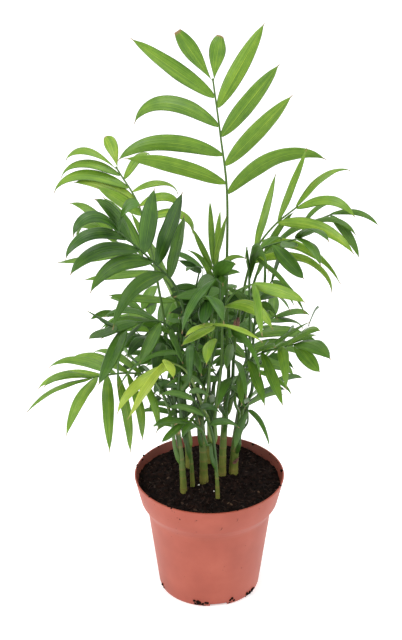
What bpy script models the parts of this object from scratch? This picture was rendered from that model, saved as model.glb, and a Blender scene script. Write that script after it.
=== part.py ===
"""Potted parlour palm: a turned plastic nursery pot, its soil, short canes and pinnate fronds.

Metres, +Z up. The origin is the centre of the pot's base, on the surface that the pot stands on.
-Y is the front, +X is the right.
"""

import math
import random

import bmesh
import bpy
from mathutils import Matrix, Vector
from mathutils.bvhtree import BVHTree

MM = 0.001
UP = Vector((0, 0, 1))
GAP = 0.3 * MM                   # clearance between pieces that touch

# Pot: a thin moulded shell with a stepped collar
POT_RADIUS = 60 * MM
POT_HEIGHT = 101.5 * MM
POT_WALL = 1.2 * MM
COLLAR_RADIUS = 55.4 * MM        # at the collar's lower end
COLLAR_HEIGHT = 21 * MM
STEP_HEIGHT = 9 * MM             # the slope from the collar in to the body
BODY_RADIUS = 49.8 * MM
FOOT_RADIUS = 40.4 * MM
FOOT_WIDTH = 3 * MM
BASE_HEIGHT = 4.5 * MM           # the base plate stands clear of the table
BOSS_RADIUS = 13 * MM            # the middle of the base reaches down to the table
POT_SIDES = 64
NOTCHES = 4                      # drain notches through the foot
NOTCH_WIDTH = 14 * MM
NOTCH_HEIGHT = 3.8 * MM
NOTCH_TURN = 11                  # degrees from the front to the first notch
DRAIN_HOLES = 8
DRAIN_RADIUS = 3.5 * MM
DRAIN_CIRCLE = 26 * MM           # radius of the circle that the drain holes lie on
EDGE = 1.5 * MM                  # how far a rounded corner reaches down the pot's side

# Soil
SOIL_DROP = 8 * MM               # from the rim down to the soil's edge
SOIL_CROWN = 2 * MM              # how much the soil rises towards the middle
SOIL_SIDES = 48
SOCKET_DEPTH = 12 * MM           # how deep the canes are planted

# Stalks
STALK_HALF = (1.5 * MM, 0.7 * MM)  # half thickness of a stalk, foot and tip
STALK_BESIDE = 14 * MM           # how far a stalk runs up beside its cane before it leaves
STALK_POINTS = 41

# Leaf blades
BLADE_THICK = 0.7 * MM
BLADE_STATIONS = (0.13, 0.32, 0.58, 0.82, 1.0)
BLADE_ROOT = 1.5 * MM            # half the length of stalk that a leaflet grows from
BROADEST = 0.42                  # where a blade is broadest, as a share of its length
CLEARANCE = 0.9 * MM             # kept round a blade when neighbours are dodged

COLOURS = {
    "terracotta_plastic": ("#c2674f", 0.42),
    "peat_soil": ("#241a16", 0.95),
    "cane_green": ("#7f9150", 0.5),
    "leaf_green": ("#4f8a2f", 0.42),
}

# Canes: foot on the soil (x, y), top (x, y, height above the soil) and foot radius, in mm
CANES = {
    "cane_left": ((-20, -17), (-26, -12, 62), 2.4),
    "cane_left_slim": ((-13, -8), (-17, -6, 48), 1.6),
    "cane_middle": ((-4, -1), (-8, 0, 74), 3.0),
    "cane_front_slim": ((7, -27), (2, -22, 60), 1.5),
    "cane_right": ((10, 7), (14, 4, 80), 2.8),
    "cane_right_stout": ((19, 12), (26, 12, 70), 3.2),
    "cane_back": ((1, 27), (0, 30, 66), 2.6),
    "cane_back_left": ((-16, 18), (-22, 26, 60), 2.4),
}


class Row:
    """The leaflets down one side of a frond. Each value changes evenly from the lowest to the topmost."""

    def __init__(self, count, spread, length, droop, lift=(6,), roll=(0,), width=None):
        self.count = count
        self.spread = spread          # degrees away from the stalk
        self.length = length          # mm
        self.droop = droop            # degrees that the blade bends down along its length
        self.lift = lift              # degrees up from the frond's plane
        self.roll = roll              # degrees that the blade turns about its own length
        self.width = width            # mm, where it isn't the frond's own


class Frond:
    """One palm leaf: a bare stalk that leaves its cane, then leaflets down both sides up to the tip."""

    def __init__(self, cane, rise, path, bare, face, left, right, width=11, blunt=False):
        self.cane = cane              # the cane it grows from
        self.rise = rise * MM         # height above the soil where the stalk leaves the cane
        self.path = path              # points that the stalk passes, mm
        self.bare = bare              # share of the stalk without leaflets
        self.face = Vector(face).normalized()    # which way the frond's upper side looks
        self.rows = {-1: left, 1: right}
        self.width = width            # of its leaflets, mm
        self.blunt = blunt            # whether the last two leaflets are broad and blunt


FRONDS = {
    "frond_tall": Frond(
        "cane_right", 80, [(13, 5, 255), (13, 10, 340), (8, 18, 385), (2, 28, 428)], 0.655, (0, -1, 0.25),
        Row(5, (64, 60, 50, 48, 25), (80, 86, 80, 78, 46), (20, 60, 90, 0, 0), lift=(4, -14, 4), roll=(5,)),
        Row(5, (46, 52, 45, 38, 15), (88, 72, 70, 70, 34), (70, 0, 0, 0, 30), lift=(4, 4, -10), roll=(5,)),
        width=12.5, blunt=True),
    "frond_front_left": Frond(
        "cane_middle", 60, [(-15, -6, 217), (-24, -20, 275), (-43, -42, 312), (-66, -74, 351)],
        0.62, (-0.2, -0.6, 0.8),
        Row(5, (30, 0, -20), (80, 66, 54), (70, 70, 130), lift=(0, -25, 5), roll=(-5,), width=12),
        Row(5, (30, 90, 95, 30, 25), (62, 56, 40), (0, 0, 70), lift=(20, 6), roll=(-10, -40, -10)),
        width=13.5),
    "frond_right_light": Frond(
        "cane_right", 66, [(20, 0, 225), (31, -2, 291), (46, -10, 323), (65, -18, 345)],
        0.66, (0, -0.7, 0.7),
        Row(3, (20, 30), (60, 66, 60), (10, 0, 70), lift=(-25, 6, -25), roll=(20,), width=9),
        Row(4, (45, 45, 12), (82, 84, 58), (100, 40, 80), roll=(20, 25, -40)),
        width=10),
    "frond_low_left": Frond(
        "cane_left", 34, [(-31, -20, 170), (-43, -28, 203), (-62, -40, 216), (-90, -60, 223)],
        0.66, (-0.2, -0.25, 0.95),
        Row(6, (90, 90, 50, 20), (54, 58, 80, 68), (95, 60, 40), lift=(0, -40, 6, 6), roll=(0, 10, -20)),
        Row(5, (70, 55, 0), (56, 60, 46), (60,), roll=(-20, -30, 0)),
        width=9),
    "frond_low_right": Frond(
        "cane_right_stout", 44, [(20, -8, 174), (24, -20, 207), (37, -36, 230), (64, -62, 253)],
        0.48, (0.2, -0.35, 0.9),
        Row(6, (60, -10, 50, 25, 0, -20), (46, 60, 34, 40, 70), (60, 20, 20, 40, 30),
            lift=(-45, 6, 6, 6, 6, 6), width=13),
        Row(5, (40, 50, 50, 35, 30), (48, 48, 60, 34), (40, 20, 0, 80, 0),
            lift=(-40, -40, -40, 6, -40), roll=(20, 30)),
        width=11),
    "frond_young_left": Frond(
        "cane_front_slim", 58, [(-4, -32, 178), (-17, -50, 222), (-33, -76, 247)], 0.82, (0, -0.4, 0.9),
        Row(2, (-10, 30), (62, 66), (60, 10), lift=(-40,), roll=(10, 40)),
        Row(1, (-40,), (42,), (30,), roll=(20,)),
        width=9),
    "frond_centre_right": Frond(
        "cane_front_slim", 58, [(9, -26, 217), (10, -45, 268), (17, -70, 299), (31, -92, 318)],
        0.7, (0, -0.5, 0.9),
        Row(1, (10,), (42,), (20,), lift=(-40,), roll=(-10,)),
        Row(2, (-10, 40), (62, 72), (70, 10), lift=(-25, -10), roll=(10, 30))),
    "frond_centre_low": Frond(
        "cane_left_slim", 44, [(-3, -27, 187), (1, -55, 248), (3, -80, 282), (2, -104, 292)],
        0.68, (0, -0.4, 0.9),
        Row(2, (-30, -25), (66, 40), (10, 30), lift=(-25, 6), roll=(40, 0), width=8),
        Row(2, (20, -25), (46, 54), (60, 30), lift=(-25, 6), roll=(0,))),
    "frond_centre": Frond(
        "cane_middle", 66, [(4, -30, 234), (7, -52, 290), (4, -76, 316), (-4, -104, 310)],
        0.62, (0, -0.3, 0.95),
        Row(3, (-40, -10, 10), (58, 56, 24), (10, 70, 20), lift=(-10, 6), roll=(-30,), width=13),
        Row(3, (-10, -30), (60, 40, 54), (80, 50, 80), lift=(6, 45), roll=(0, 0, -30)),
        width=12),
    "frond_back_left": Frond(
        "cane_left", 50, [(-30, 8, 185), (-38, 12, 253), (-52, 26, 319), (-72, 46, 349)],
        0.79, (-0.3, -0.7, 0.6),
        Row(5, (35, 35, 15), (42, 70, 50), (10, 80, 90), roll=(0, -30, -50)),
        Row(5, (75, 90, 20), (52, 34, 50, 30), (130, 90, 60), lift=(6, 6, -30, 6), roll=(-50, -50, 0)),
        width=10, blunt=True),
    "frond_mid_left": Frond(
        "cane_left_slim", 42, [(-24, -5, 188), (-26, -18, 233), (-38, -34, 257), (-71, -64, 269)],
        0.6, (-0.2, -0.3, 0.9),
        Row(5, (70, 40, -10, 35, 25), (40, 46, 66, 50), (10, 0, 120, 0, 0), lift=(-40, -40, 6),
            roll=(-10, -20, 0)),
        Row(4, (50, 50, 0, 10), (62, 40, 30), (80, 70, 0), roll=(0, -20, 0)),
        width=11),
    "frond_young_middle": Frond(
        "cane_middle", 74, [(-3, 1, 215), (3, 2, 257), (3, 2, 289)], 0.82, (0, -1, 0.2),
        Row(3, (15, 25, 10), (40, 38, 56), (40, 0, 0)),
        Row(3, (5, 30, 5), (50,), (80, 20, 0), roll=(-30, 0, 30)),
        width=5),
    "frond_right_front": Frond(
        "cane_right_stout", 60, [(31, -8, 232), (30, -33, 305), (41, -50, 327), (63, -74, 345)],
        0.62, (0.2, -0.5, 0.8),
        Row(4, (15, 70, -30, -20), (62, 24, 40, 50), (50, 80, 0, 60), roll=(-40, -20, 20, 50)),
        Row(4, (0, 50, 30, 20), (88, 54, 46), (90, 30, 0, 80), lift=(6, -25, -25, 6), roll=(60, 40, -50)),
        width=11),
    "frond_hanging_right": Frond(
        "cane_right_stout", 26, [(30, -2, 150), (30, -8, 165)], 0.85, (0.3, -0.6, 0.7),
        Row(1, (135,), (32,), (20,), roll=(-40,)),
        Row(1, (-20,), (48,), (80,), lift=(50,), roll=(50,)),
        width=7),
    "frond_low_centre": Frond(
        "cane_front_slim", 36, [(-2, -32, 148), (-7, -40, 167), (-20, -52, 180)], 0.5, (0, -0.4, 0.9),
        Row(2, (-20, 5), (42, 40), (100, 50), lift=(-10, 6)),
        Row(3, (60, -10, -35), (42, 34, 42), (70, 60, 0), lift=(-25, 6), roll=(-20, 0)),
        width=6),
    "frond_right_back": Frond(
        "cane_back", 60, [(24, 26, 221), (41, 28, 278), (62, 26, 303), (93, 16, 323)],
        0.58, (0.2, -0.4, 0.9),
        Row(3, (0, 40, -15), (48, 32, 46), (20, 70, 60), roll=(-10,), width=5),
        Row(4, (0, 0, 30), (60, 62, 46), (110, 100, 40), roll=(30, -40, 0)),
        width=7),
    "frond_behind_left": Frond(
        "cane_back_left", 50, [(-22, 26, 207), (-27, 30, 245), (-45, 42, 267), (-75, 62, 279)],
        0.52, (-0.2, -0.5, 0.85),
        Row(4, (65, 55, 45, -15), (54, 60, 56), (0, 10, 0, 110), roll=(-60, -20, -10)),
        Row(4, (-20, 10, 40, 20), (62, 56), (0, 10, 60), lift=(-25, 6, 50, 6), roll=(-40, 40, -40, 30)),
        width=10),
    "frond_inner_left": Frond(
        "cane_left_slim", 34, [(-21, -19, 158), (-24, -22, 193), (-21, -30, 220), (-15, -44, 241)],
        0.5, (0, -0.5, 0.85),
        Row(4, (75, -20, -30, -25), (24, 50, 74, 70), (100, 20, 80, 90), lift=(6, 50, 6), roll=(0, 40)),
        Row(3, (10, 30), (42, 56), (120, 20), lift=(6, -10), roll=(-40, 0)),
        width=8),
    "frond_inner_middle": Frond(
        "cane_middle", 40, [(-10, -10, 157), (-14, -9, 191), (-11, -14, 219), (-6, -20, 242)],
        0.5, (0.1, -0.4, 0.9),
        Row(2, (-40,), (46, 34), (50, 20), lift=(20, 6), roll=(-10,)),
        Row(3, (15, 40, 30), (32,), (100, 40), lift=(6, -20, 0), roll=(-50, 20, 20)),
        width=8),
    "frond_inner_right": Frond(
        "cane_right", 50, [(13, -7, 168), (18, -12, 201), (18, -20, 226), (13, -31, 246)],
        0.5, (0, -0.5, 0.85),
        Row(2, (70, 20), (36,), (30, 20), lift=(20, 0)),
        Row(4, (0, 10, -40, -15), (64,), (40, 50, 20, 100), lift=(50, 50, 6, 6), roll=(20, -20, 60, 10)),
        width=8),
    "frond_dark_left": Frond(
        "cane_back_left", 40, [(-24, 15, 160), (-24, 7, 196), (-31, -4, 219), (-44, -16, 233)],
        0.5, (-0.2, -0.4, 0.9),
        Row(4, (100, 20, 40, 20), (36, 70, 60, 56), (60, 80, 50, 50), roll=(-40, 0, -20, -10)),
        Row(4, (20, 0, 20, -10), (52, 46, 30, 44), (30, 0, 10, 20), roll=(-40, -10)),
        width=10),
    "frond_inner_back": Frond(
        "cane_back", 54, [(-5, 22, 162), (-4, 24, 196), (-4, 22, 225), (-10, 8, 252)], 0.5, (0, -0.6, 0.8),
        Row(4, (25, 10), (40, 50, 42), (110, 50, 90, 20), roll=(-20,)),
        Row(3, (10, 20, 15), (48, 56, 44), (110, 70, 60), roll=(-60, -20, 60)),
        width=10),
    "frond_centre_back": Frond(
        "cane_back_left", 56, [(-19, 30, 178), (-16, 30, 216), (-12, 24, 249), (-8, 12, 276)],
        0.55, (0, -0.8, 0.6),
        Row(3, (45, 120, 45), (22,), (90, 0, 20), roll=(-10,)),
        Row(3, (5, 35, 10), (40, 24, 38), (100, 30, 40), roll=(-30, 10)),
        width=8),
    "frond_right_inner": Frond(
        "cane_right_stout", 52, [(34, 14, 174), (34, 8, 216), (37, -4, 256), (47, -22, 286)],
        0.6, (0.1, -0.6, 0.8),
        Row(3, (10, 30, 10), (60, 32, 40), (30, 0, 30), roll=(20,)),
        Row(3, (5, 35), (56, 40), (90, 70, 40), roll=(-60, 20, 0)),
        width=8),
    "frond_back": Frond(
        "cane_back", 48, [(-2, 46, 190), (8, 70, 216), (12, 104, 214)], 0.5, (0, 0.3, 0.95),
        Row(6, (65, 33), (48, 56, 32), (60,)), Row(6, (65, 33), (48, 56, 32), (60,)), width=10),
    "frond_back_right": Frond(
        "cane_back", 36, [(26, 44, 170), (36, 66, 194), (54, 92, 196)], 0.5, (0.3, 0.3, 0.9),
        Row(6, (65, 33), (44, 52, 30), (60,)), Row(6, (65, 33), (44, 52, 30), (60,)), width=10),
    "frond_back_low": Frond(
        "cane_back_left", 24, [(-26, 48, 160), (-38, 70, 196), (-56, 94, 202)], 0.5, (-0.3, 0.3, 0.9),
        Row(6, (65, 33), (44, 52, 30), (60,)), Row(6, (65, 33), (44, 52, 30), (60,)), width=10),
}

# What a blade with no room tries, least first: more spread, lift and bend in degrees, share of its length
LEANS = [(spread, lift, droop) for spread in (0, 8, -8, 16, -16, 26, -26)
         for lift in (0, 9, -9, 18, -18, 30) for droop in (0, 15, -12)]
NUDGES = [(*lean, share) for share in (1, 0.7, 0.45)
          for lean in sorted(LEANS, key=lambda lean: sum(abs(v) for v in lean))]


# Layout: the curves that canes, stalks and blades follow

def smooth_curve(points, count):
    """count points, evenly spaced, on a Catmull-Rom curve through the given points."""
    ends = [points[0] * 2 - points[1], *points, points[-1] * 2 - points[-2]]
    dense = []
    for a, b, c, d in zip(ends, ends[1:], ends[2:], ends[3:]):
        for i in range(24):
            t = i / 24
            dense.append(0.5 * (2 * b + (c - a) * t + (2 * a - 5 * b + 4 * c - d) * t ** 2
                                + (3 * b - a - 3 * c + d) * t ** 3))
    dense.append(points[-1])
    return [point_at(dense, i / (count - 1)) for i in range(count)]


def path_length(points):
    return sum((b - a).length for a, b in zip(points, points[1:]))


def point_at(points, share):
    """The point this share of the way along a line of points."""
    left = share * path_length(points)
    for a, b in zip(points, points[1:]):
        step = (b - a).length
        if left <= step and step > 0:
            return a.lerp(b, left / step)
        left -= step
    return points[-1].copy()


def heading_at(points, share):
    return (point_at(points, min(share + 0.02, 1)) - point_at(points, max(share - 0.02, 0))).normalized()


def soil_top(x, y):
    """Height of the soil's surface."""
    reach = min(math.hypot(x, y) / POT_RADIUS, 1)
    return POT_HEIGHT - SOIL_DROP + SOIL_CROWN * (1 - reach ** 2)


def cane_line(name):
    """Points up the middle of a cane, from its planted foot to its top."""
    (x, y), (top_x, top_y, height), _ = CANES[name]
    x, y, top_x, top_y, height = (v * MM for v in (x, y, top_x, top_y, height))
    ground = soil_top(x, y)
    foot = Vector((x, y, ground - SOCKET_DEPTH + GAP))
    top = Vector((top_x, top_y, ground + height))
    middle = foot.lerp(top, 0.5) + Vector((0.2 * (x - top_x), 0.2 * (y - top_y), 0))
    return smooth_curve([foot, middle, top], 9)


def cane_radius(name, share):
    return CANES[name][2] * MM * (1.12 - 0.3 * share)


def stalk_line(frond):
    """Points along a frond's stalk: it starts against its cane and passes the frond's path points."""
    line = cane_line(frond.cane)
    share = min((SOCKET_DEPTH + frond.rise) / path_length(line), 1)
    start = point_at(line, share)
    first = Vector(frond.path[0]) * MM
    if share < 0.98:
        outward = Vector((first.x - start.x, first.y - start.y, 0)).normalized()
        start = start + outward * (cane_radius(frond.cane, share) + STALK_HALF[0] * 1.45 + GAP)
    else:
        start = start + UP * 2 * GAP
    beside = start + heading_at(line, share) * STALK_BESIDE
    return smooth_curve([start, beside] + [Vector(p) * MM for p in frond.path], STALK_POINTS)


def blade_width(share, blunt=False):
    """Width of a blade this share of the way along it, 1 at its broadest."""
    if blunt:
        return (min(share / 0.7, 1)) ** 0.7 * (1 - max(share - 0.7, 0) / 0.3 * 0.75)
    if share < BROADEST:
        return 0.16 + 0.84 * (1 - (1 - share / BROADEST) ** 2) ** 0.75
    return max(1 - ((share - BROADEST) / (1 - BROADEST)) ** 2.2, 0.05)


def blade_line(root, heading, normal, length, droop, count=13):
    """Points and normals along a blade that bends down under its own weight, most towards its tip."""
    points, normals = [root.copy()], [normal.copy()]
    for i in range(1, count):
        share = i / (count - 1)
        turn = math.radians(droop) * 2 * share / (count - 1)
        axis = heading.cross(-UP)
        if axis.length > 1e-4:
            bend = Matrix.Rotation(min(turn, heading.angle(-UP)), 3, axis)
            heading, normal = bend @ heading, bend @ normal
        points.append(points[-1] + heading * length / (count - 1))
        normals.append(normal.copy())
    return points, normals


def blade_sections(blade, extra=0.0):
    """Four corners of the blade at each station, from the edge on the stalk's foot side round."""
    points, normals = blade["line"]
    sections = []
    for share in BLADE_STATIONS:
        centre, ahead = point_at(points, share), heading_at(points, share)
        normal = normals[round(share * (len(normals) - 1))]
        up = (normal - ahead * normal.dot(ahead)).normalized()
        low = ahead.cross(up) * blade["side"]
        half = max(blade["width"] * blade_width(share, blade["blunt"]) / 2, 0.35 * MM) + extra
        thick = BLADE_THICK / 2 + extra
        sections.append([centre + low * a * half + up * b * thick
                         for a, b in ((1, 1), (1, -1), (-1, -1), (-1, 1))])
    return sections


def section_tree(sections):
    """A search tree of the closed skin round a row of four-cornered sections."""
    corners = [c for s in sections for c in s]
    faces = [(0, 1, 2, 3), tuple(len(corners) - n for n in (4, 3, 2, 1))]
    for i in range(len(sections) - 1):
        for j in range(4):
            a, b = 4 * i + j, 4 * i + (j + 1) % 4
            faces.append((a, b, b + 4, a + 4))
    return BVHTree.FromPolygons(corners, faces)


def rod_tree(points, radius):
    """A search tree of a square rod along a line of points."""
    sections = []
    for i, p in enumerate(points):
        ahead = heading_at(points, i / (len(points) - 1))
        side = ahead.orthogonal().normalized()
        other = ahead.cross(side)
        sections.append([p + (side * a + other * b) * radius
                         for a, b in ((1, 1), (-1, 1), (-1, -1), (1, -1))])
    return section_tree(sections)


def changing(values, share):
    """A value this share of the way through values that are evenly spaced."""
    place = share * (len(values) - 1)
    low = min(int(place), len(values) - 1)
    high = min(low + 1, len(values) - 1)
    return values[low] + (values[high] - values[low]) * (place - low)


def leaflets(name, frond, line):
    """Every leaflet of a frond before it meets its neighbours: place along the stalk, side and angles."""
    chance = random.Random(name)
    blades = []
    for side, row in frond.rows.items():
        for i in range(row.count):
            last = i == row.count - 1
            up_share = 1 if last else i / (row.count - 1)
            stagger = 0.36 / (row.count - 1) if side < 0 and not last else 0
            along = frond.bare + (1 - frond.bare) * (up_share + stagger)
            blades.append({
                "along": min(along, 1 - BLADE_ROOT / path_length(line)),
                "side": side,
                "spread": changing(row.spread, up_share) + chance.uniform(-3, 3),
                "lift": changing(row.lift, up_share),
                "length": changing(row.length, up_share) * chance.uniform(0.97, 1.03) * MM,
                "droop": changing(row.droop, up_share),
                "roll": changing(row.roll, up_share),
                "width": (row.width or frond.width) * chance.uniform(0.94, 1.06) * MM,
                "blunt": last and frond.blunt,
            })
    return sorted(blades, key=lambda blade: (blade["along"], blade["side"]))


def aim_blade(frond, line, row, nudge):
    """The blade's own line once the nudge is added to its angles and length."""
    ahead = heading_at(line, row["along"])
    across = ahead.cross(frond.face).normalized()
    normal = across.cross(ahead).normalized()
    spread, lift = math.radians(row["spread"] + nudge[0]), math.radians(row["lift"] + nudge[1])
    heading = ahead * math.cos(spread) + across * row["side"] * math.sin(spread)
    lifted = heading * math.cos(lift) + normal * math.sin(lift)
    normal = (normal - lifted * normal.dot(lifted)).normalized()
    normal = Matrix.Rotation(math.radians(row["roll"]) * row["side"], 3, lifted) @ normal
    root = point_at(line, row["along"]) + across * row["side"] * STALK_HALF[1]
    return blade_line(root, lifted, normal, row["length"] * nudge[3], max(row["droop"] + nudge[2], 0))


def over_pot(points):
    """True if a blade would dip in or close round the pot."""
    return any(p.z < POT_HEIGHT + 6 * MM and math.hypot(p.x, p.y) < POT_RADIUS + 8 * MM for p in points)


def lay_out():
    """Where every stalk and blade goes. A blade that would run into a neighbour leans or stays short."""
    stalks = {name: stalk_line(frond) for name, frond in FRONDS.items()}
    rods = {name: rod_tree(line, STALK_HALF[0] + CLEARANCE) for name, line in stalks.items()}
    canes = {name: rod_tree(cane_line(name), cane_radius(name, 0) + CLEARANCE) for name in CANES}
    placed, blades = [], {}
    for name, frond in FRONDS.items():
        others = [tree for other, tree in rods.items() if other != name] + list(canes.values())
        blades[name] = []
        for row in leaflets(name, frond, stalks[name]):
            for nudge in NUDGES:
                row["line"] = aim_blade(frond, stalks[name], row, nudge)
                tree = section_tree(blade_sections(row, extra=CLEARANCE / 2))
                if not over_pot(row["line"][0]) and not any(tree.overlap(t) for t in others + placed):
                    break
            else:
                print("no room for a leaflet of", name, row["side"], round(row["along"], 2))
                continue
            placed.append(tree)
            blades[name].append(row)
    return stalks, blades


# Modelling helpers

def material(slot):
    if slot in bpy.data.materials:
        return bpy.data.materials[slot]
    colour, roughness = COLOURS[slot]
    channels = [int(colour[i:i + 2], 16) / 255 for i in (1, 3, 5)]
    linear = [c / 12.92 if c <= 0.04045 else ((c + 0.055) / 1.055) ** 2.4 for c in channels]
    made = bpy.data.materials.new(slot)
    made.use_nodes = True
    shader = made.node_tree.nodes["Principled BSDF"]
    shader.inputs["Base Color"].default_value = (*linear, 1)
    shader.inputs["Roughness"].default_value = roughness
    return made


def new_collection(name):
    made = bpy.data.collections.new(name)
    bpy.context.scene.collection.children.link(made)
    return made


def new_object(name, data, collection, slot=None):
    obj = bpy.data.objects.new(name, data)
    collection.objects.link(obj)
    if slot:
        data.materials.append(material(slot))
    return obj


def cutter(name, build, cutters):
    """A hidden closed mesh, made by a bmesh operation."""
    mesh = bpy.data.meshes.new(name)
    shape = bmesh.new()
    build(shape)
    shape.to_mesh(mesh)
    shape.free()
    obj = new_object(name, mesh, cutters)
    obj.hide_render = True
    obj.display_type = "WIRE"
    return obj


def cut_all(obj, cutters, name):
    cut = obj.modifiers.new(name, "BOOLEAN")
    cut.operand_type = "COLLECTION"
    cut.collection = cutters
    cut.operation = "DIFFERENCE"


def turned(name, profile, sides, collection, slot):
    """A profile of (radius, height) points spun round the Z axis."""
    mesh = bpy.data.meshes.new(name)
    mesh.from_pydata([(r, 0, z) for r, z in profile], [(i, i + 1) for i in range(len(profile) - 1)], [])
    obj = new_object(name, mesh, collection, slot)
    spin = obj.modifiers.new("turn", "SCREW")
    spin.steps = spin.render_steps = sides
    spin.use_merge_vertices = True
    spin.merge_threshold = 0.01 * MM
    return obj


# Pot and soil

def body_radius(height):
    """Outer radius of the pot's tapered body."""
    top = POT_HEIGHT - COLLAR_HEIGHT - STEP_HEIGHT
    return FOOT_RADIUS + (BODY_RADIUS - FOOT_RADIUS) * min(height / top, 1)


def pot_profile():
    """Outer face of the pot, from the rim down the outside, under the foot and in to the middle."""
    collar_low = POT_HEIGHT - COLLAR_HEIGHT
    body_top = collar_low - STEP_HEIGHT
    return [
        (POT_RADIUS, POT_HEIGHT),
        (COLLAR_RADIUS, collar_low + EDGE),
        (COLLAR_RADIUS - 0.6 * MM, collar_low - 1 * MM),
        (BODY_RADIUS + 0.6 * MM, body_top + EDGE),
        (BODY_RADIUS - 0.2 * MM, body_top - 1 * MM),
        (body_radius(2 * MM), 2 * MM),
        (FOOT_RADIUS - 0.9 * MM, 0),
        (FOOT_RADIUS - FOOT_WIDTH, 0),
        (FOOT_RADIUS - FOOT_WIDTH - 0.8 * MM, BASE_HEIGHT),
        (BOSS_RADIUS + 2 * MM, BASE_HEIGHT),
        (BOSS_RADIUS, 0),
        (0, 0),
    ]


def add_pot(parts, cutters):
    pot = turned("pot", pot_profile(), POT_SIDES, parts, "terracotta_plastic")
    shell = pot.modifiers.new("wall", "SOLIDIFY")
    shell.thickness = POT_WALL
    shell.offset = -1
    shell.use_even_offset = True
    for i in range(NOTCHES):
        turn = math.radians(NOTCH_TURN - 90 + i * 360 / NOTCHES)
        place = (Matrix.Rotation(turn, 4, "Z") @ Matrix.Translation((FOOT_RADIUS, 0, 0))
                 @ Matrix.Diagonal((8 * MM, NOTCH_WIDTH, 2 * NOTCH_HEIGHT, 1)))
        cutter(f"notch_{i}", lambda shape: bmesh.ops.create_cube(shape, size=1, matrix=place), cutters)
    for i in range(DRAIN_HOLES):
        turn = math.radians(NOTCH_TURN + 22.5 + i * 360 / DRAIN_HOLES)
        place = Matrix.Rotation(turn, 4, "Z") @ Matrix.Translation((DRAIN_CIRCLE, 0, BASE_HEIGHT))
        cutter(f"drain_{i}", lambda shape: bmesh.ops.create_cone(
            shape, cap_ends=True, segments=16, radius1=DRAIN_RADIUS, radius2=DRAIN_RADIUS, depth=8 * MM,
            matrix=place), cutters)
    cut_all(pot, cutters, "drain cuts")
    return pot


def soil_profile():
    """The soil fills the pot to just under its rim, a gap inside the wall."""
    inset = POT_WALL + GAP
    edge_top = POT_HEIGHT - SOIL_DROP
    outer = [(r - inset - 0.2 * MM, z + inset) for r, z in pot_profile()[1:6]]
    edge_radius = outer[0][0] + (POT_RADIUS - COLLAR_RADIUS) * 0.5
    crown = [(edge_radius * k / 4, soil_top(edge_radius * k / 4, 0)) for k in range(5)]
    floor = BASE_HEIGHT + inset
    low = (body_radius(floor) - inset - 1 * MM, floor + 0.2 * MM)
    return crown[:-1] + [(edge_radius, edge_top)] + outer[:-1] + [low, (0, floor + 0.2 * MM)]


def add_soil(parts, cutters):
    soil = turned("soil", soil_profile(), SOIL_SIDES, parts, "peat_soil")
    for name in CANES:
        line = cane_line(name)
        lean = heading_at(line, 0).to_track_quat("Z", "Y").to_matrix().to_4x4()
        middle = line[0] - heading_at(line, 0) * GAP
        radius = cane_radius(name, 0) + 3 * GAP
        depth = 2 * SOCKET_DEPTH
        place = Matrix.Translation(middle) @ lean @ Matrix.Translation((0, 0, depth / 2))
        cutter(f"socket_{name}", lambda shape: bmesh.ops.create_cone(
            shape, cap_ends=True, segments=12, radius1=radius, radius2=radius, depth=depth, matrix=place),
            cutters)
    cut_all(soil, cutters, "planting holes")
    return soil


# Canes and fronds

def add_cane(name, parts):
    """A tapered round cane: a curve with a bevel and a radius at each point."""
    line = cane_line(name)
    curve = bpy.data.curves.new(name, "CURVE")
    curve.dimensions = "3D"
    curve.bevel_depth = 1 * MM
    curve.bevel_resolution = 1
    curve.use_fill_caps = True
    spline = curve.splines.new("POLY")
    spline.points.add(len(line) - 1)
    for i, point in enumerate(line):
        spline.points[i].co = (*point, 1)
        spline.points[i].radius = cane_radius(name, i / (len(line) - 1)) / MM
    return new_object(name, curve, parts, "cane_green")


def stalk_half(share):
    return STALK_HALF[0] + (STALK_HALF[1] - STALK_HALF[0]) * share ** 0.8


def add_ring(shape, corners):
    return [shape.verts.new(c) for c in corners]


def bridge(shape, first, second, leave_out=()):
    """Quads between two rings of four corners, except the sides in leave_out."""
    for side in range(4):
        if side not in leave_out:
            other = (side + 1) % 4
            shape.faces.new((first[side], first[other], second[other], second[side]))


def add_frond(name, line, blades, parts):
    """One closed body: a square stalk whose side faces open into the blades that grow from it."""
    frond, total = FRONDS[name], path_length(line)
    cuts = {0.0: None, 1.0: None}
    bare_rings = max(round(frond.bare * total / (22 * MM)), 2)
    first_leaf = min(b["along"] for b in blades) - 4 * MM / total
    cuts.update({first_leaf * i / bare_rings: None for i in range(bare_rings)})
    roots = {}
    for blade in blades:
        low = min(blade["along"], 1 - BLADE_ROOT / total) - BLADE_ROOT / total
        high = low + 2 * BLADE_ROOT / total
        high = 1.0 if high > 0.999 else high
        cuts.update({low: None, high: None})
        roots.setdefault(low, []).append(blade)
    shape = bmesh.new()
    rings = []
    for share in sorted(cuts):
        ahead = heading_at(line, share)
        across = ahead.cross(frond.face).normalized()
        up = across.cross(ahead).normalized()
        half, centre = stalk_half(share), point_at(line, share)
        rings.append((share, add_ring(shape, [centre + (across * a + up * b) * half
                                              for a, b in ((1, 1), (1, -1), (-1, -1), (-1, 1))])))
    shape.faces.new(rings[0][1])
    shape.faces.new(rings[-1][1])
    for (share, low), (_, high) in zip(rings, rings[1:]):
        growing = roots.get(share, [])
        bridge(shape, low, high, [0 if b["side"] > 0 else 2 for b in growing])
        for blade in growing:
            order = (0, 1) if blade["side"] > 0 else (3, 2)
            ring = [low[order[0]], low[order[1]], high[order[1]], high[order[0]]]
            for corners in blade_sections(blade):
                following = add_ring(shape, corners)
                bridge(shape, ring, following)
                ring = following
            shape.faces.new(ring)
    bmesh.ops.recalc_face_normals(shape, faces=shape.faces)
    mesh = bpy.data.meshes.new(name)
    shape.to_mesh(mesh)
    shape.free()
    return new_object(name, mesh, parts, "leaf_green")


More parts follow.
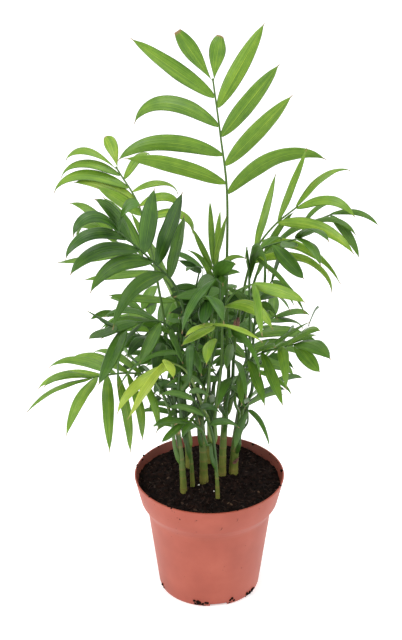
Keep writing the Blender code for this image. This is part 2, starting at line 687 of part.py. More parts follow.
def main():
    for obj in list(bpy.data.objects):
        bpy.data.objects.remove(obj)
    parts = new_collection("potted_palm")
    add_pot(parts, new_collection("pot_cutters"))
    add_soil(parts, new_collection("soil_cutters"))
    for name in CANES:
        add_cane(name, parts)
    stalks, blades = lay_out()
    for name in FRONDS:
        add_frond(name, stalks[name], blades[name], parts)


main()
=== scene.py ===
import math
import random
from functools import partial

import bmesh
import bpy
from mathutils import Matrix, Vector, noise
from mathutils.bvhtree import BVHTree


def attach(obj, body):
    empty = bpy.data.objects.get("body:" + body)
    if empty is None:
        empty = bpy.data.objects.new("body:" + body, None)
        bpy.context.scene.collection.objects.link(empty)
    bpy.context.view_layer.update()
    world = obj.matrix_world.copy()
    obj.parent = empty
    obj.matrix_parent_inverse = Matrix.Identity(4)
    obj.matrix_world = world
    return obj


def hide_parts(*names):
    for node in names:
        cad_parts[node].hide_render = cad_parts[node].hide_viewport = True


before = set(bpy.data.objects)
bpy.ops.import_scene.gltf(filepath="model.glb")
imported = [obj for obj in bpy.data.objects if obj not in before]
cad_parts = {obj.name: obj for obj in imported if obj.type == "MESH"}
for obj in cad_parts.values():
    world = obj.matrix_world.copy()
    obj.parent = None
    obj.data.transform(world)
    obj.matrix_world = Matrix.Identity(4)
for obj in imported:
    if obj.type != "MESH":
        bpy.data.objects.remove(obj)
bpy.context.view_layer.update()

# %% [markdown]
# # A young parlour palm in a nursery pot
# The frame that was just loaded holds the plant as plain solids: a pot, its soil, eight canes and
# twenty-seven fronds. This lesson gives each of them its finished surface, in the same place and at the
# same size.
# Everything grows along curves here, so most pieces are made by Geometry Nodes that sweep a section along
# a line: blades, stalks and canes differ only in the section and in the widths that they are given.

MM = 0.001
UP = Vector((0, 0, 1))
scene = bpy.context.scene

# %% [markdown]
# ## Camera and lights
# A potted plant on a table is looked at from a little above. A long lens from well back keeps the rim and
# the foot of the pot in proportion, as a catalogue shows them. Three broad, soft lamps do the lighting: a
# key lamp from the left, a weaker one that fills its shadows from the right, and one overhead.

# %% Camera
CAMERA_TILT = math.radians(27.65)
CAMERA_DISTANCE = 1.6
AIM = Vector((-0.0067, 0, 0.2405))
LENS = 116.7                     # mm

camera = bpy.data.objects.new("studio_camera", bpy.data.cameras.new("studio_camera"))
camera.data.lens = LENS
camera.data.clip_start = 0.05
camera.location = AIM + CAMERA_DISTANCE * Vector((0, -math.cos(CAMERA_TILT), math.sin(CAMERA_TILT)))
camera.rotation_euler = (math.pi / 2 - CAMERA_TILT, 0, 0)
scene.collection.objects.link(camera)
scene.camera = camera
scene.view_settings.view_transform = "Standard"
print("camera at", [round(v, 3) for v in camera.location])

# %% Lights
def add_soft_light(name, position, size, power):
    """A square area light that faces the middle of the plant."""
    lamp = bpy.data.lights.new(name, "AREA")
    lamp.size = size
    lamp.energy = power
    holder = bpy.data.objects.new(name, lamp)
    holder.location = position
    holder.rotation_euler = (AIM - Vector(position)).to_track_quat("-Z", "Y").to_euler()
    scene.collection.objects.link(holder)


add_soft_light("key_light", (-1.2, -0.9, 1.3), 0.7, 17)
add_soft_light("fill_light", (1.3, -0.5, 1.0), 0.7, 6)
add_soft_light("top_light", (0.0, 0.3, 1.9), 0.9, 12)

# %% [markdown]
# ## Helpers for materials and node trees
# Colours are picked as hex values, as a paint program shows them, and Blender wants linear light, so one
# function turns them. Another adds a node with its settings, values and links in one call, and gives back
# one of the node's outputs, so that a material reads as a recipe: each step is fed by the one before.

# %% Helpers
def linear(hex_colour):
    """An sRGB hex colour as linear RGBA."""
    channels = [int(hex_colour[i:i + 2], 16) / 255 for i in (1, 3, 5)]
    return (*(c / 12.92 if c <= 0.04045 else ((c + 0.055) / 1.055) ** 2.4 for c in channels), 1)


def socket_of(sockets, key):
    """A socket by its number, identifier or name."""
    if isinstance(key, int):
        return sockets[key]
    return next(s for s in sockets if key in (s.identifier, s.name))


def feed(node, inputs):
    """Sets inputs, by number, identifier or name, to values or to other nodes' outputs."""
    for key, value in (inputs.items() if isinstance(inputs, dict) else enumerate(inputs)):
        socket = socket_of(node.inputs, key)
        if isinstance(value, bpy.types.NodeSocket):
            node.id_data.links.new(value, socket)
        else:
            socket.default_value = value


def add_node(tree, kind, inputs=(), out=0, stops=(), **settings):
    """Adds a node with its settings, values and links, and gives back one of its outputs. stops are a
    colour ramp's (position, hex colour) pairs."""
    node = tree.nodes.new(kind)
    for name, value in settings.items():
        setattr(node, name, value)
    for number, (position, colour) in enumerate(stops):
        elements = node.color_ramp.elements
        element = elements[number] if number < len(elements) else elements.new(position)
        element.position, element.color = position, linear(colour)
    feed(node, inputs)
    return socket_of(node.outputs, out) if len(node.outputs) else node


def new_material(name, **values):
    """A material, a function that adds a node to it, and its shader with the values that are the same all
    over the surface."""
    made = bpy.data.materials.new(name)
    made.use_nodes = True
    shader = made.node_tree.nodes["Principled BSDF"]
    feed(shader, values)
    return made, partial(add_node, made.node_tree), shader


print("mid green #4f8a2f in linear light:", [round(c, 3) for c in linear("#4f8a2f")])

# %% [markdown]
# ## The white surround and the floor
# The plant stands on a matt white sweep in an evenly lit white room, so it has almost no shadow and nothing
# else to look at. The floor glows a little, which lifts it until it fades into the background.

# %% Surround and floor
SURROUND_LIGHT = 0.8
FLOOR_SIZE = 8                   # m
WHITE = (1, 1, 1, 1)

world = bpy.data.worlds.new("white_surround")
world.use_nodes = True
# The camera sees the surround pure white, and the plant is lit by less of it, so that shadows stay deep
seen = add_node(world.node_tree, "ShaderNodeLightPath", out="Is Camera Ray")
strength = add_node(world.node_tree, "ShaderNodeMapRange", [seen, 0.0, 1.0, SURROUND_LIGHT, 1.0])
feed(world.node_tree.nodes["Background"], {"Color": WHITE, "Strength": strength})
scene.world = world

floor_white, _, floor_paint = new_material("matt_white_sweep", Roughness=1.0)
feed(floor_paint, {"Base Color": (0.85, 0.85, 0.85, 1), "Emission Color": WHITE, "Emission Strength": 0.45})


def link(obj):
    """Puts an object in the scene and gives it back."""
    scene.collection.objects.link(obj)
    return obj


def built(name, build, material=None, smooth=False):
    """An object at the origin whose mesh is what build makes in an empty bmesh."""
    mesh = bpy.data.meshes.new(name)
    shape = bmesh.new()
    build(shape)
    shape.to_mesh(mesh)
    shape.free()
    if material:
        mesh.materials.append(material)
    if smooth:
        mesh.shade_smooth()
    return link(bpy.data.objects.new(name, mesh))


floor = built("floor", lambda shape: bmesh.ops.create_grid(shape, x_segments=1, y_segments=1,
                                                           size=FLOOR_SIZE / 2), floor_white)
print("floor", FLOOR_SIZE, "m across")

# %% [markdown]
# ## The pot's plastic
# A nursery pot is thin polypropylene, coloured through with a terracotta pigment and moulded in one shot.
# Straight from the mould it has a dull sheen, a faint orange-peel from the steel, and soft clouds where
# the colour mixed unevenly. On the bench it picks up peat: dark grains and smears along the rim and foot.

# %% Moulded polypropylene
def moulded_polypropylene():
    """Dull terracotta plastic with peat dust along its rim and foot, and painted shade on the wall inside."""
    material, node, shader = new_material("moulded_polypropylene", IOR=1.49)
    place = node("ShaderNodeTexCoord", out="Object")
    clouds = node("ShaderNodeTexNoise", {"Vector": place, "Scale": 1 / (28 * MM), "Detail": 3.0})
    pigment = node("ShaderNodeValToRGB", [clouds], stops=[(0.3, "#974330"), (0.52, "#a04a37"),
                                                          (0.72, "#a8523e")])
    # Peat dust: grains 1.9 mm apart, in patches of 13 mm, thick near the rim and the foot
    grains = node("ShaderNodeTexNoise", {"Vector": place, "Scale": 1 / (1.9 * MM)})
    patches = node("ShaderNodeTexNoise", {"Vector": place, "Scale": 1 / (13 * MM), "Detail": 1.0})
    height = node("ShaderNodeSeparateXYZ", [place], out="Z")
    low = node("ShaderNodeMapRange", [height, 9 * MM, 0.0])
    high = node("ShaderNodeMapRange", [height, POT_HEIGHT - 22 * MM, POT_HEIGHT])
    near_edge = node("ShaderNodeMath", [low, high], operation="MAXIMUM")
    reach = node("ShaderNodeMath", [near_edge, 0.075, -0.02], operation="MULTIPLY_ADD")
    patch = node("ShaderNodeMath", [patches, 0.24, reach], operation="MULTIPLY_ADD")
    total = node("ShaderNodeMath", [grains, patch], operation="ADD")
    dirt = node("ShaderNodeMapRange", [total, 0.865, 0.9])
    colour = node("ShaderNodeMix", {"Factor_Float": dirt, "A_Color": pigment, "B_Color": linear("#3a241c")},
                  out="Result_Color", data_type="RGBA")
    # Painted shade: the wall inside, where the surface faces the pot's axis, is darkened as the pot's hollow
    # is in shade
    facing = node("ShaderNodeNewGeometry", out="Normal")
    outward = node("ShaderNodeVectorMath", [place, (1.0, 1.0, 0.0)], operation="MULTIPLY")
    inward = node("ShaderNodeVectorMath", [facing, outward], out="Value", operation="DOT_PRODUCT")
    painted_inner_shade = node("ShaderNodeMapRange", [inward, -8 * MM, -30 * MM, 0.0, 0.55])
    colour = node("ShaderNodeMix", {"Factor_Float": painted_inner_shade, "A_Color": colour, "B_Color": linear("#4a2419")},
                  out="Result_Color", data_type="RGBA")
    gloss = node("ShaderNodeMapRange", [dirt, 0.0, 1.0, 0.5, 0.85])
    peel = node("ShaderNodeTexNoise", {"Vector": place, "Scale": 1 / (2.4 * MM), "Detail": 1.0})
    bump = node("ShaderNodeBump", {"Height": peel, "Strength": 0.12, "Distance": 0.06 * MM})
    feed(shader, {"Base Color": colour, "Roughness": gloss, "Normal": bump})
    return material


print("pigment clouds 28 mm apart, peat grains 1.9 mm, orange peel 2.4 mm")

# %% [markdown]
# ## The pot's shape
# The pot is a solid of revolution: a flared collar that nests in the next pot, a short step, a tapered body
# and a foot ring with four notches that let water out. It is made as it is drawn, from one outer profile
# turned round the Z axis and given a wall of its real thickness. Bevels would round every edge alike, so
# the profile's own corners are rounded first, each with the radius that a mould would leave.

# %% Sizes of the pot and soil
POT_RADIUS = 60 * MM
POT_HEIGHT = 101.5 * MM
POT_WALL = 1.2 * MM
COLLAR_RADIUS = 55.4 * MM        # at the collar's lower end
COLLAR_HEIGHT = 21 * MM
STEP_HEIGHT = 9 * MM             # the slope from the collar in to the body
BODY_RADIUS = 49.8 * MM
FOOT_RADIUS = 40.4 * MM
FOOT_WIDTH = 3 * MM
BASE_HEIGHT = 4.5 * MM           # the base plate stands clear of the table
BOSS_RADIUS = 13 * MM            # the middle of the base reaches down to the table
NOTCHES = 4                      # drain notches through the foot
NOTCH_WIDTH = 14 * MM
NOTCH_HEIGHT = 3.8 * MM
NOTCH_TURN = 11                  # degrees from the front to the first notch
DRAIN_HOLES = 8
DRAIN_RADIUS = 3.5 * MM
DRAIN_CIRCLE = 26 * MM           # radius of the circle that the drain holes lie on
EDGE = 1.5 * MM                  # how far a rounded corner reaches down the pot's side
CORNER_RADIUS = 1.8 * MM         # of the outside's own corners
RIM_ROUNDING = 0.45 * MM         # of the wall's two edges at the rim
CUT_REACH = 8 * MM               # a cutter's depth: more than the wall or the base that it goes through
SOIL_DROP = 8 * MM               # from the rim down to the soil's edge
SOIL_CROWN = 2 * MM              # how much the soil rises towards the middle
SOCKET_DEPTH = 12 * MM           # how deep the canes are planted
GAP = 0.3 * MM                   # clearance between pieces that touch
print("pot", 2 * POT_RADIUS / MM, "mm across and", POT_HEIGHT / MM, "mm high")

# %% The profile, with rounded corners
def body_radius(height):
    """Outer radius of the pot's tapered body."""
    top = POT_HEIGHT - COLLAR_HEIGHT - STEP_HEIGHT
    return FOOT_RADIUS + (BODY_RADIUS - FOOT_RADIUS) * min(height / top, 1)


def pot_profile():
    """Outer face of the pot, from the rim down the outside, under the foot and in to the middle."""
    collar_low = POT_HEIGHT - COLLAR_HEIGHT
    body_top = collar_low - STEP_HEIGHT
    return [
        (POT_RADIUS, POT_HEIGHT),
        (COLLAR_RADIUS, collar_low + EDGE),
        (COLLAR_RADIUS - 0.6 * MM, collar_low - 1 * MM),
        (BODY_RADIUS + 0.6 * MM, body_top + EDGE),
        (BODY_RADIUS - 0.2 * MM, body_top - 1 * MM),
        (body_radius(2 * MM), 2 * MM),
        (FOOT_RADIUS - 0.9 * MM, 0),
        (FOOT_RADIUS - FOOT_WIDTH, 0),
        (FOOT_RADIUS - FOOT_WIDTH - 0.8 * MM, BASE_HEIGHT),
        (BOSS_RADIUS + 2 * MM, BASE_HEIGHT),
        (BOSS_RADIUS, 0),
        (0, 0),
    ]


def rounded(profile, radius, steps=4):
    """The profile with a curve of steps + 1 points in place of each corner between its ends."""
    points = [Vector(p) for p in profile]
    out = [points[0]]
    for before, corner, after in zip(points, points[1:], points[2:]):
        reach = min(radius, (corner - before).length * 0.45, (after - corner).length * 0.45)
        start = corner + (before - corner).normalized() * reach
        end = corner + (after - corner).normalized() * reach
        for i in range(steps + 1):
            t = i / steps
            out.append(start * (1 - t) ** 2 + corner * 2 * t * (1 - t) + end * t ** 2)
    return [tuple(p) for p in out + [points[-1]]]


outer_profile = rounded(pot_profile(), CORNER_RADIUS)
print(len(pot_profile()), "corners became", len(outer_profile), "points")

# %% Plain meshes and finished pieces
def plain_mesh(obj, name, material=None):
    """Turns an object's evaluated shape into a plain mesh object at the origin and removes the first."""
    bpy.context.view_layer.update()
    mesh = bpy.data.meshes.new_from_object(obj.evaluated_get(bpy.context.evaluated_depsgraph_get()))
    bpy.data.objects.remove(obj)
    mesh.name = name
    if material:
        mesh.materials.clear()
        mesh.materials.append(material)
    return link(bpy.data.objects.new(name, mesh))


def finish_piece(piece, slot, *nodes):
    """The piece rides with the plant and may stand for some of the CAD nodes. The slot is not used."""
    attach(piece, "root")
    if nodes:
        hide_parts(*nodes)
    print(piece.name, "has", len(piece.data.polygons), "faces and stands for", list(nodes) or "no node")


print("helpers: plain_mesh and finish_piece")

# %% Turning, wall and cuts
POT_STEPS = 144
pot_line = bpy.data.meshes.new("pot_line")
pot_line.from_pydata([(r, 0, z) for r, z in outer_profile],
                     [(i, i + 1) for i in range(len(outer_profile) - 1)], [])
pot_draft = link(bpy.data.objects.new("pot_draft", pot_line))
spin = pot_draft.modifiers.new("turn", "SCREW")
spin.steps = spin.render_steps = POT_STEPS
spin.use_merge_vertices = True
spin.merge_threshold = 0.01 * MM
wall = pot_draft.modifiers.new("wall", "SOLIDIFY")
wall.thickness = POT_WALL
wall.offset = -1
wall.use_even_offset = True
rim_rounding = pot_draft.modifiers.new("rim rounding", "BEVEL")
rim_rounding.width = RIM_ROUNDING
rim_rounding.segments = 2
rim_rounding.limit_method = "ANGLE"
rim_rounding.angle_limit = math.radians(60)

cutters = []
for i in range(NOTCHES):
    turn = math.radians(NOTCH_TURN - 90 + i * 360 / NOTCHES)
    place = (Matrix.Rotation(turn, 4, "Z") @ Matrix.Translation((FOOT_RADIUS, 0, 0))
             @ Matrix.Diagonal((CUT_REACH, NOTCH_WIDTH, 2 * NOTCH_HEIGHT, 1)))
    cutters.append(built(f"notch_{i}", lambda shape: bmesh.ops.create_cube(shape, size=1, matrix=place)))
for i in range(DRAIN_HOLES):
    turn = math.radians(NOTCH_TURN + 22.5 + i * 360 / DRAIN_HOLES)
    place = Matrix.Rotation(turn, 4, "Z") @ Matrix.Translation((DRAIN_CIRCLE, 0, BASE_HEIGHT))
    cutters.append(built(f"drain_{i}", lambda shape: bmesh.ops.create_cone(
        shape, cap_ends=True, segments=32, radius1=DRAIN_RADIUS, radius2=DRAIN_RADIUS, depth=CUT_REACH,
        matrix=place)))
for tool in cutters:
    cut = pot_draft.modifiers.new(tool.name, "BOOLEAN")
    cut.object = tool
nursery_pot = plain_mesh(pot_draft, "nursery_pot", moulded_polypropylene())
for tool in cutters:
    bpy.data.objects.remove(tool)
nursery_pot.data.shade_smooth()
nursery_pot.data.set_sharp_from_angle(angle=math.radians(35))
finish_piece(nursery_pot, "terracotta_plastic", "pot")

# %% [markdown]
# ## Peat
# The soil is a peat mix: nearly black when moist, made of crumbs, short brown fibres and a few white grains
# of perlite. It could be a flat disc with bump in its material, but its lumps are large enough to show from
# the side. So it is one closed solid whose top is pushed up and down by noise at three sizes, from the dents
# that a hand leaves down to single crumbs. Loose crumbs and fibres are then scattered on it.

# %% Peat, fibre and perlite
def moist_peat():
    """Wet peat: matt, nearly black, with browner crumbs 3 mm apart and fine grit."""
    material, node, shader = new_material("moist_peat", Roughness=0.95, IOR=1.2)
    place = node("ShaderNodeTexCoord", out="Object")
    crumbs = node("ShaderNodeTexNoise", {"Vector": place, "Scale": 1 / (3.2 * MM), "Detail": 6.0,
                                         "Roughness": 0.7})
    colour = node("ShaderNodeValToRGB", [crumbs], stops=[(0.32, "#060403"), (0.48, "#120a08"),
                                                         (0.6, "#22140f"), (0.75, "#382319")])
    grit = node("ShaderNodeTexNoise", {"Vector": place, "Scale": 1 / (0.9 * MM), "Detail": 4.0})
    bump = node("ShaderNodeBump", {"Height": grit, "Strength": 0.7, "Distance": 0.6 * MM})
    feed(shader, {"Base Color": colour, "Normal": bump})
    return material


def speckled(name, size, detail, stops):
    """A dull material whose colour changes from spot to spot, this many metres apart."""
    material, node, shader = new_material(name, Roughness=0.9)
    place = node("ShaderNodeTexCoord", out="Object")
    spots = node("ShaderNodeTexNoise", {"Vector": place, "Scale": 1 / size, "Detail": detail})
    feed(shader, {"Base Color": node("ShaderNodeValToRGB", [spots], stops=stops)})
    return material


PEAT = moist_peat()
FIBRE = speckled("peat_fibre", 6 * MM, 2.0, [(0.35, "#1c110b"), (0.55, "#342114"), (0.75, "#59402a")])
PERLITE = speckled("expanded_perlite", 0.7 * MM, 3.0, [(0.3, "#b5b0a4"), (0.6, "#efece4")])
print([m.name for m in (PEAT, FIBRE, PERLITE)])

# %% The soil's surface
def soil_top(x, y):
    """Height of the soil's surface."""
    reach = min(math.hypot(x, y) / POT_RADIUS, 1)
    return POT_HEIGHT - SOIL_DROP + SOIL_CROWN * (1 - reach ** 2)


# Size and height in mm of the dents, the lumps and the crumbs, and where in the noise each starts
SOIL_BUMPS = ((21, 1.7, 0), (6.5, 2.0, 7), (2.6, 0.9, 3))
BANK_START, BANK_WIDTH, BANK_HEIGHT = 48, 10, 1.2    # mm: the soil is banked up against the wall


def soil_surface(x, y):
    """Height of the rough surface: the soil's own crown plus its bumps, and the bank along the wall."""
    place = Vector((x, y, 0)) / MM
    rough = sum(height * noise.noise(place / size + UP * start) for size, height, start in SOIL_BUMPS)
    bank = max((math.hypot(x, y) / MM - BANK_START) / BANK_WIDTH, 0) * BANK_HEIGHT
    return soil_top(x, y) + rough * MM + bank * MM * (0.5 + noise.noise(place / 9 + UP * 11))


INSIDE_RADIUS = POT_RADIUS + (COLLAR_RADIUS - POT_RADIUS) * SOIL_DROP / COLLAR_HEIGHT - POT_WALL
SOIL_BOTTOM = BASE_HEIGHT + 2 * MM
SOIL_RINGS, SOIL_STEPS = 64, 200


def build_soil(shape):
    """A closed solid: rings from the middle out over the rough top, then down the wall to the base."""
    rows = [(INSIDE_RADIUS * k / SOIL_RINGS, None) for k in range(1, SOIL_RINGS + 1)]
    rows += [(r - POT_WALL - GAP, z + POT_WALL) for r, z in pot_profile()[1:5]]
    rows += [(body_radius(BASE_HEIGHT) - POT_WALL - 2 * MM, SOIL_BOTTOM)]
    top = shape.verts.new((0, 0, soil_surface(0, 0)))
    bottom = shape.verts.new((0, 0, SOIL_BOTTOM))
    rings = []
    for radius, height in rows:
        ring = []
        for k in range(SOIL_STEPS):
            x, y = (radius * f(k * math.tau / SOIL_STEPS) for f in (math.cos, math.sin))
            ring.append(shape.verts.new((x, y, soil_surface(x, y) if height is None else height)))
        rings.append(ring)
    for k in range(SOIL_STEPS):
        after = (k + 1) % SOIL_STEPS
        shape.faces.new((top, rings[0][k], rings[0][after]))
        shape.faces.new((bottom, rings[-1][after], rings[-1][k]))
        for inner, outer in zip(rings, rings[1:]):
            shape.faces.new((inner[k], outer[k], outer[after], inner[after]))


peat_bed = built("peat_bed", build_soil, PEAT, smooth=True)
finish_piece(peat_bed, "peat_soil", "soil")

# %% [markdown]
# ## Loose crumbs and fibres
# Hundreds of crumbs lie on the peat. Placing them by hand is out of the question, so one Geometry Nodes
# tree spreads points over the surface and puts a small lump or strand on each. The same tree makes both:
# what it scatters, how densely and how large are its inputs. Instances don't survive the export, so the
# tree ends by making them real.

# %% A tree that scatters one small shape over a surface
def new_tree(name, **inputs):
    """A Geometry Nodes tree with named inputs. Gives back the tree, a function that adds a node to it, a
    function that gives an input's socket, and the output node."""
    tree = bpy.data.node_groups.new(name, "GeometryNodeTree")
    tree.interface.new_socket("Geometry", in_out="INPUT", socket_type="NodeSocketGeometry")
    for label, kind in inputs.items():
        tree.interface.new_socket(label.replace("_", " "), in_out="INPUT", socket_type="NodeSocket" + kind)
    tree.interface.new_socket("Geometry", in_out="OUTPUT", socket_type="NodeSocketGeometry")
    given = tree.nodes.new("NodeGroupInput").outputs
    return tree, partial(add_node, tree), given, tree.nodes.new("NodeGroupOutput")


def run_tree(obj, tree, name, **values):
    """Runs a tree on an object, with values for its named inputs, and returns the result as a plain mesh."""
    modifier = obj.modifiers.new(tree.name, "NODES")
    modifier.node_group = tree
    for item in tree.interface.items_tree:
        if item.in_out == "INPUT" and item.name.replace(" ", "_") in values:
            modifier[item.identifier] = values[item.name.replace(" ", "_")]
    return plain_mesh(obj, name)


def scatter_tree():
    """The tree: points on whatever faces up, a turned and scaled shape on each, made real."""
    tree, node, given, result = new_tree("scatter over a surface", Shape="Object", Density="Float",
                                         Smallest="Float", Largest="Float", Sink="Float", Seed="Int",
                                         Material="Material")
    facing = node("ShaderNodeVectorMath", [node("GeometryNodeInputNormal"), (0, 0, 1)], out="Value",
                  operation="DOT_PRODUCT")
    upward = node("FunctionNodeCompare", [facing, 0.5], data_type="FLOAT", operation="GREATER_THAN")
    points = node("GeometryNodeDistributePointsOnFaces",
                  {"Mesh": given["Geometry"], "Selection": upward, "Density": given["Density"],
                   "Seed": given["Seed"]})
    sunk = node("ShaderNodeCombineXYZ", {"Z": given["Sink"]})
    lowered = node("GeometryNodeSetPosition", {"Geometry": points, "Offset": sunk})
    turns = node("FunctionNodeRandomValue", {"Min": (0, 0, 0), "Max": (0.9, 0.9, math.tau),
                                             "Seed": given["Seed"]}, data_type="FLOAT_VECTOR")
    sizes = node("FunctionNodeRandomValue", {"Min_001": given["Smallest"], "Max_001": given["Largest"],
                                             "Seed": given["Seed"]}, out=1, data_type="FLOAT")
    shape = node("GeometryNodeObjectInfo", {"Object": given["Shape"]}, out="Geometry")
    placed = node("GeometryNodeInstanceOnPoints", {"Points": lowered, "Instance": shape,
                                                   "Rotation": turns, "Scale": sizes})
    real = node("GeometryNodeRealizeInstances", [placed])
    feed(result, [node("GeometryNodeSetMaterial", {"Geometry": real, "Material": given["Material"]})])
    return tree


SCATTER = scatter_tree()
print("inputs:", [i.name for i in SCATTER.interface.items_tree if i.in_out == "INPUT"])

# %% The shapes of a crumb and a fibre
def lump(name, seed, squash=(1, 0.8, 0.6)):
    """A crumb one unit across: an icosphere of twenty faces, dented and flattened."""
    def build(shape):
        bmesh.ops.create_icosphere(shape, subdivisions=1, radius=0.5)
        for vert in shape.verts:
            vert.co *= 1 + 0.45 * noise.noise(vert.co * 2.2 + UP * seed)
            vert.co = Vector(a * b for a, b in zip(vert.co, squash))
    return built(name, build)


STRAND_RINGS = 5
STRAND_HALF = 0.022              # half its thickness, as a share of its length


def strand(name, sag):
    """A curved fibre one unit long, three-sided and pointed at both ends."""
    def build(shape):
        rings = []
        for i in range(1, STRAND_RINGS + 1):
            t = i / (STRAND_RINGS + 1)
            centre = Vector((t - 0.5, sag * math.sin(math.pi * t), 0.3 * sag * math.sin(math.tau * t)))
            rings.append([shape.verts.new(centre + STRAND_HALF * Vector((0, math.cos(a), math.sin(a))))
                          for a in (0, math.tau / 3, 2 * math.tau / 3)])
        tips = [shape.verts.new((-0.5, 0, 0)), shape.verts.new((0.5, 0, 0))]
        for k in range(3):
            after = (k + 1) % 3
            shape.faces.new((tips[0], rings[0][after], rings[0][k]))
            shape.faces.new((tips[1], rings[-1][k], rings[-1][after]))
            for low, high in zip(rings, rings[1:]):
                shape.faces.new((low[k], low[after], high[after], high[k]))
        bmesh.ops.recalc_face_normals(shape, faces=shape.faces)
    return built(name, build)


print("helpers: lump and strand")

# %% Crumbs, chips and fibres on the peat
def scatter_on_peat(name, shape, material, **values):
    """Scatters a shape on a copy of the soil's mesh, and removes the shape."""
    ground = link(bpy.data.objects.new(name + "_ground", peat_bed.data.copy()))
    piece = run_tree(ground, SCATTER, name, Shape=shape, Material=material, **values)
    bpy.data.objects.remove(shape)
    finish_piece(piece, "peat_soil")


scatter_on_peat("peat_crumbs", lump("crumb", 4), PEAT, Density=70000.0, Smallest=0.9 * MM,
                Largest=3.6 * MM, Sink=0.1 * MM, Seed=3)
scatter_on_peat("peat_chips", lump("chip", 9, (1, 0.55, 0.22)), FIBRE, Density=12000.0,
                Smallest=1.2 * MM, Largest=4.2 * MM, Sink=0.2 * MM, Seed=8)
scatter_on_peat("peat_fibres", strand("fibre", 0.22), FIBRE, Density=26000.0, Smallest=2.5 * MM,
                Largest=8.5 * MM, Sink=0.5 * MM, Seed=5)

# %% Perlite grains, and crumbs that spilled on the rim and the foot
def join_lumps(name, lumps, material):
    """Many lumps in one piece. Each is (x, y, z, size) in mm, and its place in the list dents it."""
    def build(shape):
        for number, (x, y, z, size) in enumerate(lumps):
            made = bmesh.ops.create_icosphere(shape, subdivisions=2, radius=size * MM / 2)["verts"]
            for vert in made:
                vert.co *= 1 + 0.35 * noise.noise(vert.co / MM + UP * (number * 5 + 1))
                vert.co += Vector((x, y, z)) * MM
    finish_piece(built(name, build, material, smooth=True), "peat_soil")


def on_peat(x, y, size):
    """A grain that lies on the peat at this place, sunk by a quarter of its size."""
    return (x, y, soil_surface(x * MM, y * MM) / MM + 0.25 * size, size)


def round_pot(reach, angle, height, size):
    """A crumb at this reach and angle from the pot's axis."""
    return (reach * math.cos(angle), reach * math.sin(angle), height, size)


join_lumps("perlite_grains", [on_peat(-8.5, -8.6, 1.6), on_peat(3.7, -17.2, 1.2), on_peat(22, 34, 1.1)],
           PERLITE)

RIM_CRUMBS = (31, 20, 17, 148, 153, 160, 168, 262, 300, 338, 342, 95, 110)    # degrees round the rim
STRAY_CRUMBS = 14                # more of them, anywhere on the rim
# Where crumbs cling to the foot, in degrees, and how many
FOOT_CLUMPS = ((259, 34), (324, 38), (296, 8), (205, 4), (60, 8), (140, 10))

chance = random.Random(12)
crumbs = []
for angle in [*RIM_CRUMBS] + [chance.uniform(0, 360) for _ in range(STRAY_CRUMBS)]:
    size = chance.uniform(0.7, 2.4)
    reach = POT_RADIUS / MM - chance.uniform(0.2, 2.6)
    crumbs.append(round_pot(reach, math.radians(angle), POT_HEIGHT / MM + size * 0.1, size))
for angle, count in FOOT_CLUMPS:
    for _ in range(count):
        size = chance.uniform(0.7, 2.7)
        height = abs(chance.gauss(0, 2.2)) + 0.4
        sunk = 0.9 if height < 2 else 0.2
        reach = body_radius(height * MM) / MM - sunk + 0.1 * size
        around = math.radians(angle + chance.gauss(0, 4.5))
        crumbs.append(round_pot(reach, around, height + size / 2, size))
join_lumps("spilled_crumbs", crumbs, PEAT)

# %% [markdown]
# ## How the palm is laid out
# A parlour palm sends up a tuft of thin canes. Each cane carries a few fronds, and a frond is a stalk that
# is bare at first and then bears leaflets down both sides. The frame's solids follow the curves below, and
# so do the finished leaves: a stalk is a smooth curve through a few points, and a leaflet leaves it at its
# own angle, then bends down under its own weight, most towards its tip. Where a plain blade would meet a
# neighbour, the later one leans aside or stays short, as a real one is pushed.

# %% The canes
# Each cane's foot (x, y), its top (x, y, height above the soil) and its radius, all in mm
CANES = {
    "cane_left": ((-20, -17), (-26, -12, 62), 2.4),
    "cane_left_slim": ((-13, -8), (-17, -6, 48), 1.6),
    "cane_middle": ((-4, -1), (-8, 0, 74), 3.0),
    "cane_front_slim": ((7, -27), (2, -22, 60), 1.5),
    "cane_right": ((10, 7), (14, 4, 80), 2.8),
    "cane_right_stout": ((19, 12), (26, 12, 70), 3.2),
    "cane_back": ((1, 27), (0, 30, 66), 2.6),
    "cane_back_left": ((-16, 18), (-22, 26, 60), 2.4),
}
print(len(CANES), "canes, the tallest", max(c[1][2] for c in CANES.values()), "mm above the soil")

# %% The fronds
class Row:
    """The leaflets down one side of a frond. Each value changes evenly from the lowest to the topmost."""

    def __init__(self, count, spread, length, droop, lift=(6,), roll=(0,), width=None):
        self.count = count
        self.spread = spread          # degrees away from the stalk
        self.length = length          # mm
        self.droop = droop            # degrees that the blade bends down along its length
        self.lift = lift              # degrees up from the frond's plane
        self.roll = roll              # degrees that the blade turns about its own length
        self.width = width            # mm, where it isn't the frond's own


class Frond:
    """One palm leaf: a bare stalk that leaves its cane, then leaflets down both sides up to the tip."""

    def __init__(self, cane, rise, path, bare, face, left, right, width=11, blunt=False):
        self.cane = cane              # the cane it grows from
        self.rise = rise * MM         # height above the soil where the stalk leaves the cane
        self.path = path              # points that the stalk passes, mm
        self.bare = bare              # share of the stalk without leaflets
        self.face = Vector(face).normalized()    # which way the frond's upper side looks
        self.rows = {-1: left, 1: right}
        self.width = width            # of its leaflets, mm
        self.blunt = blunt            # whether the last two leaflets are broad and blunt


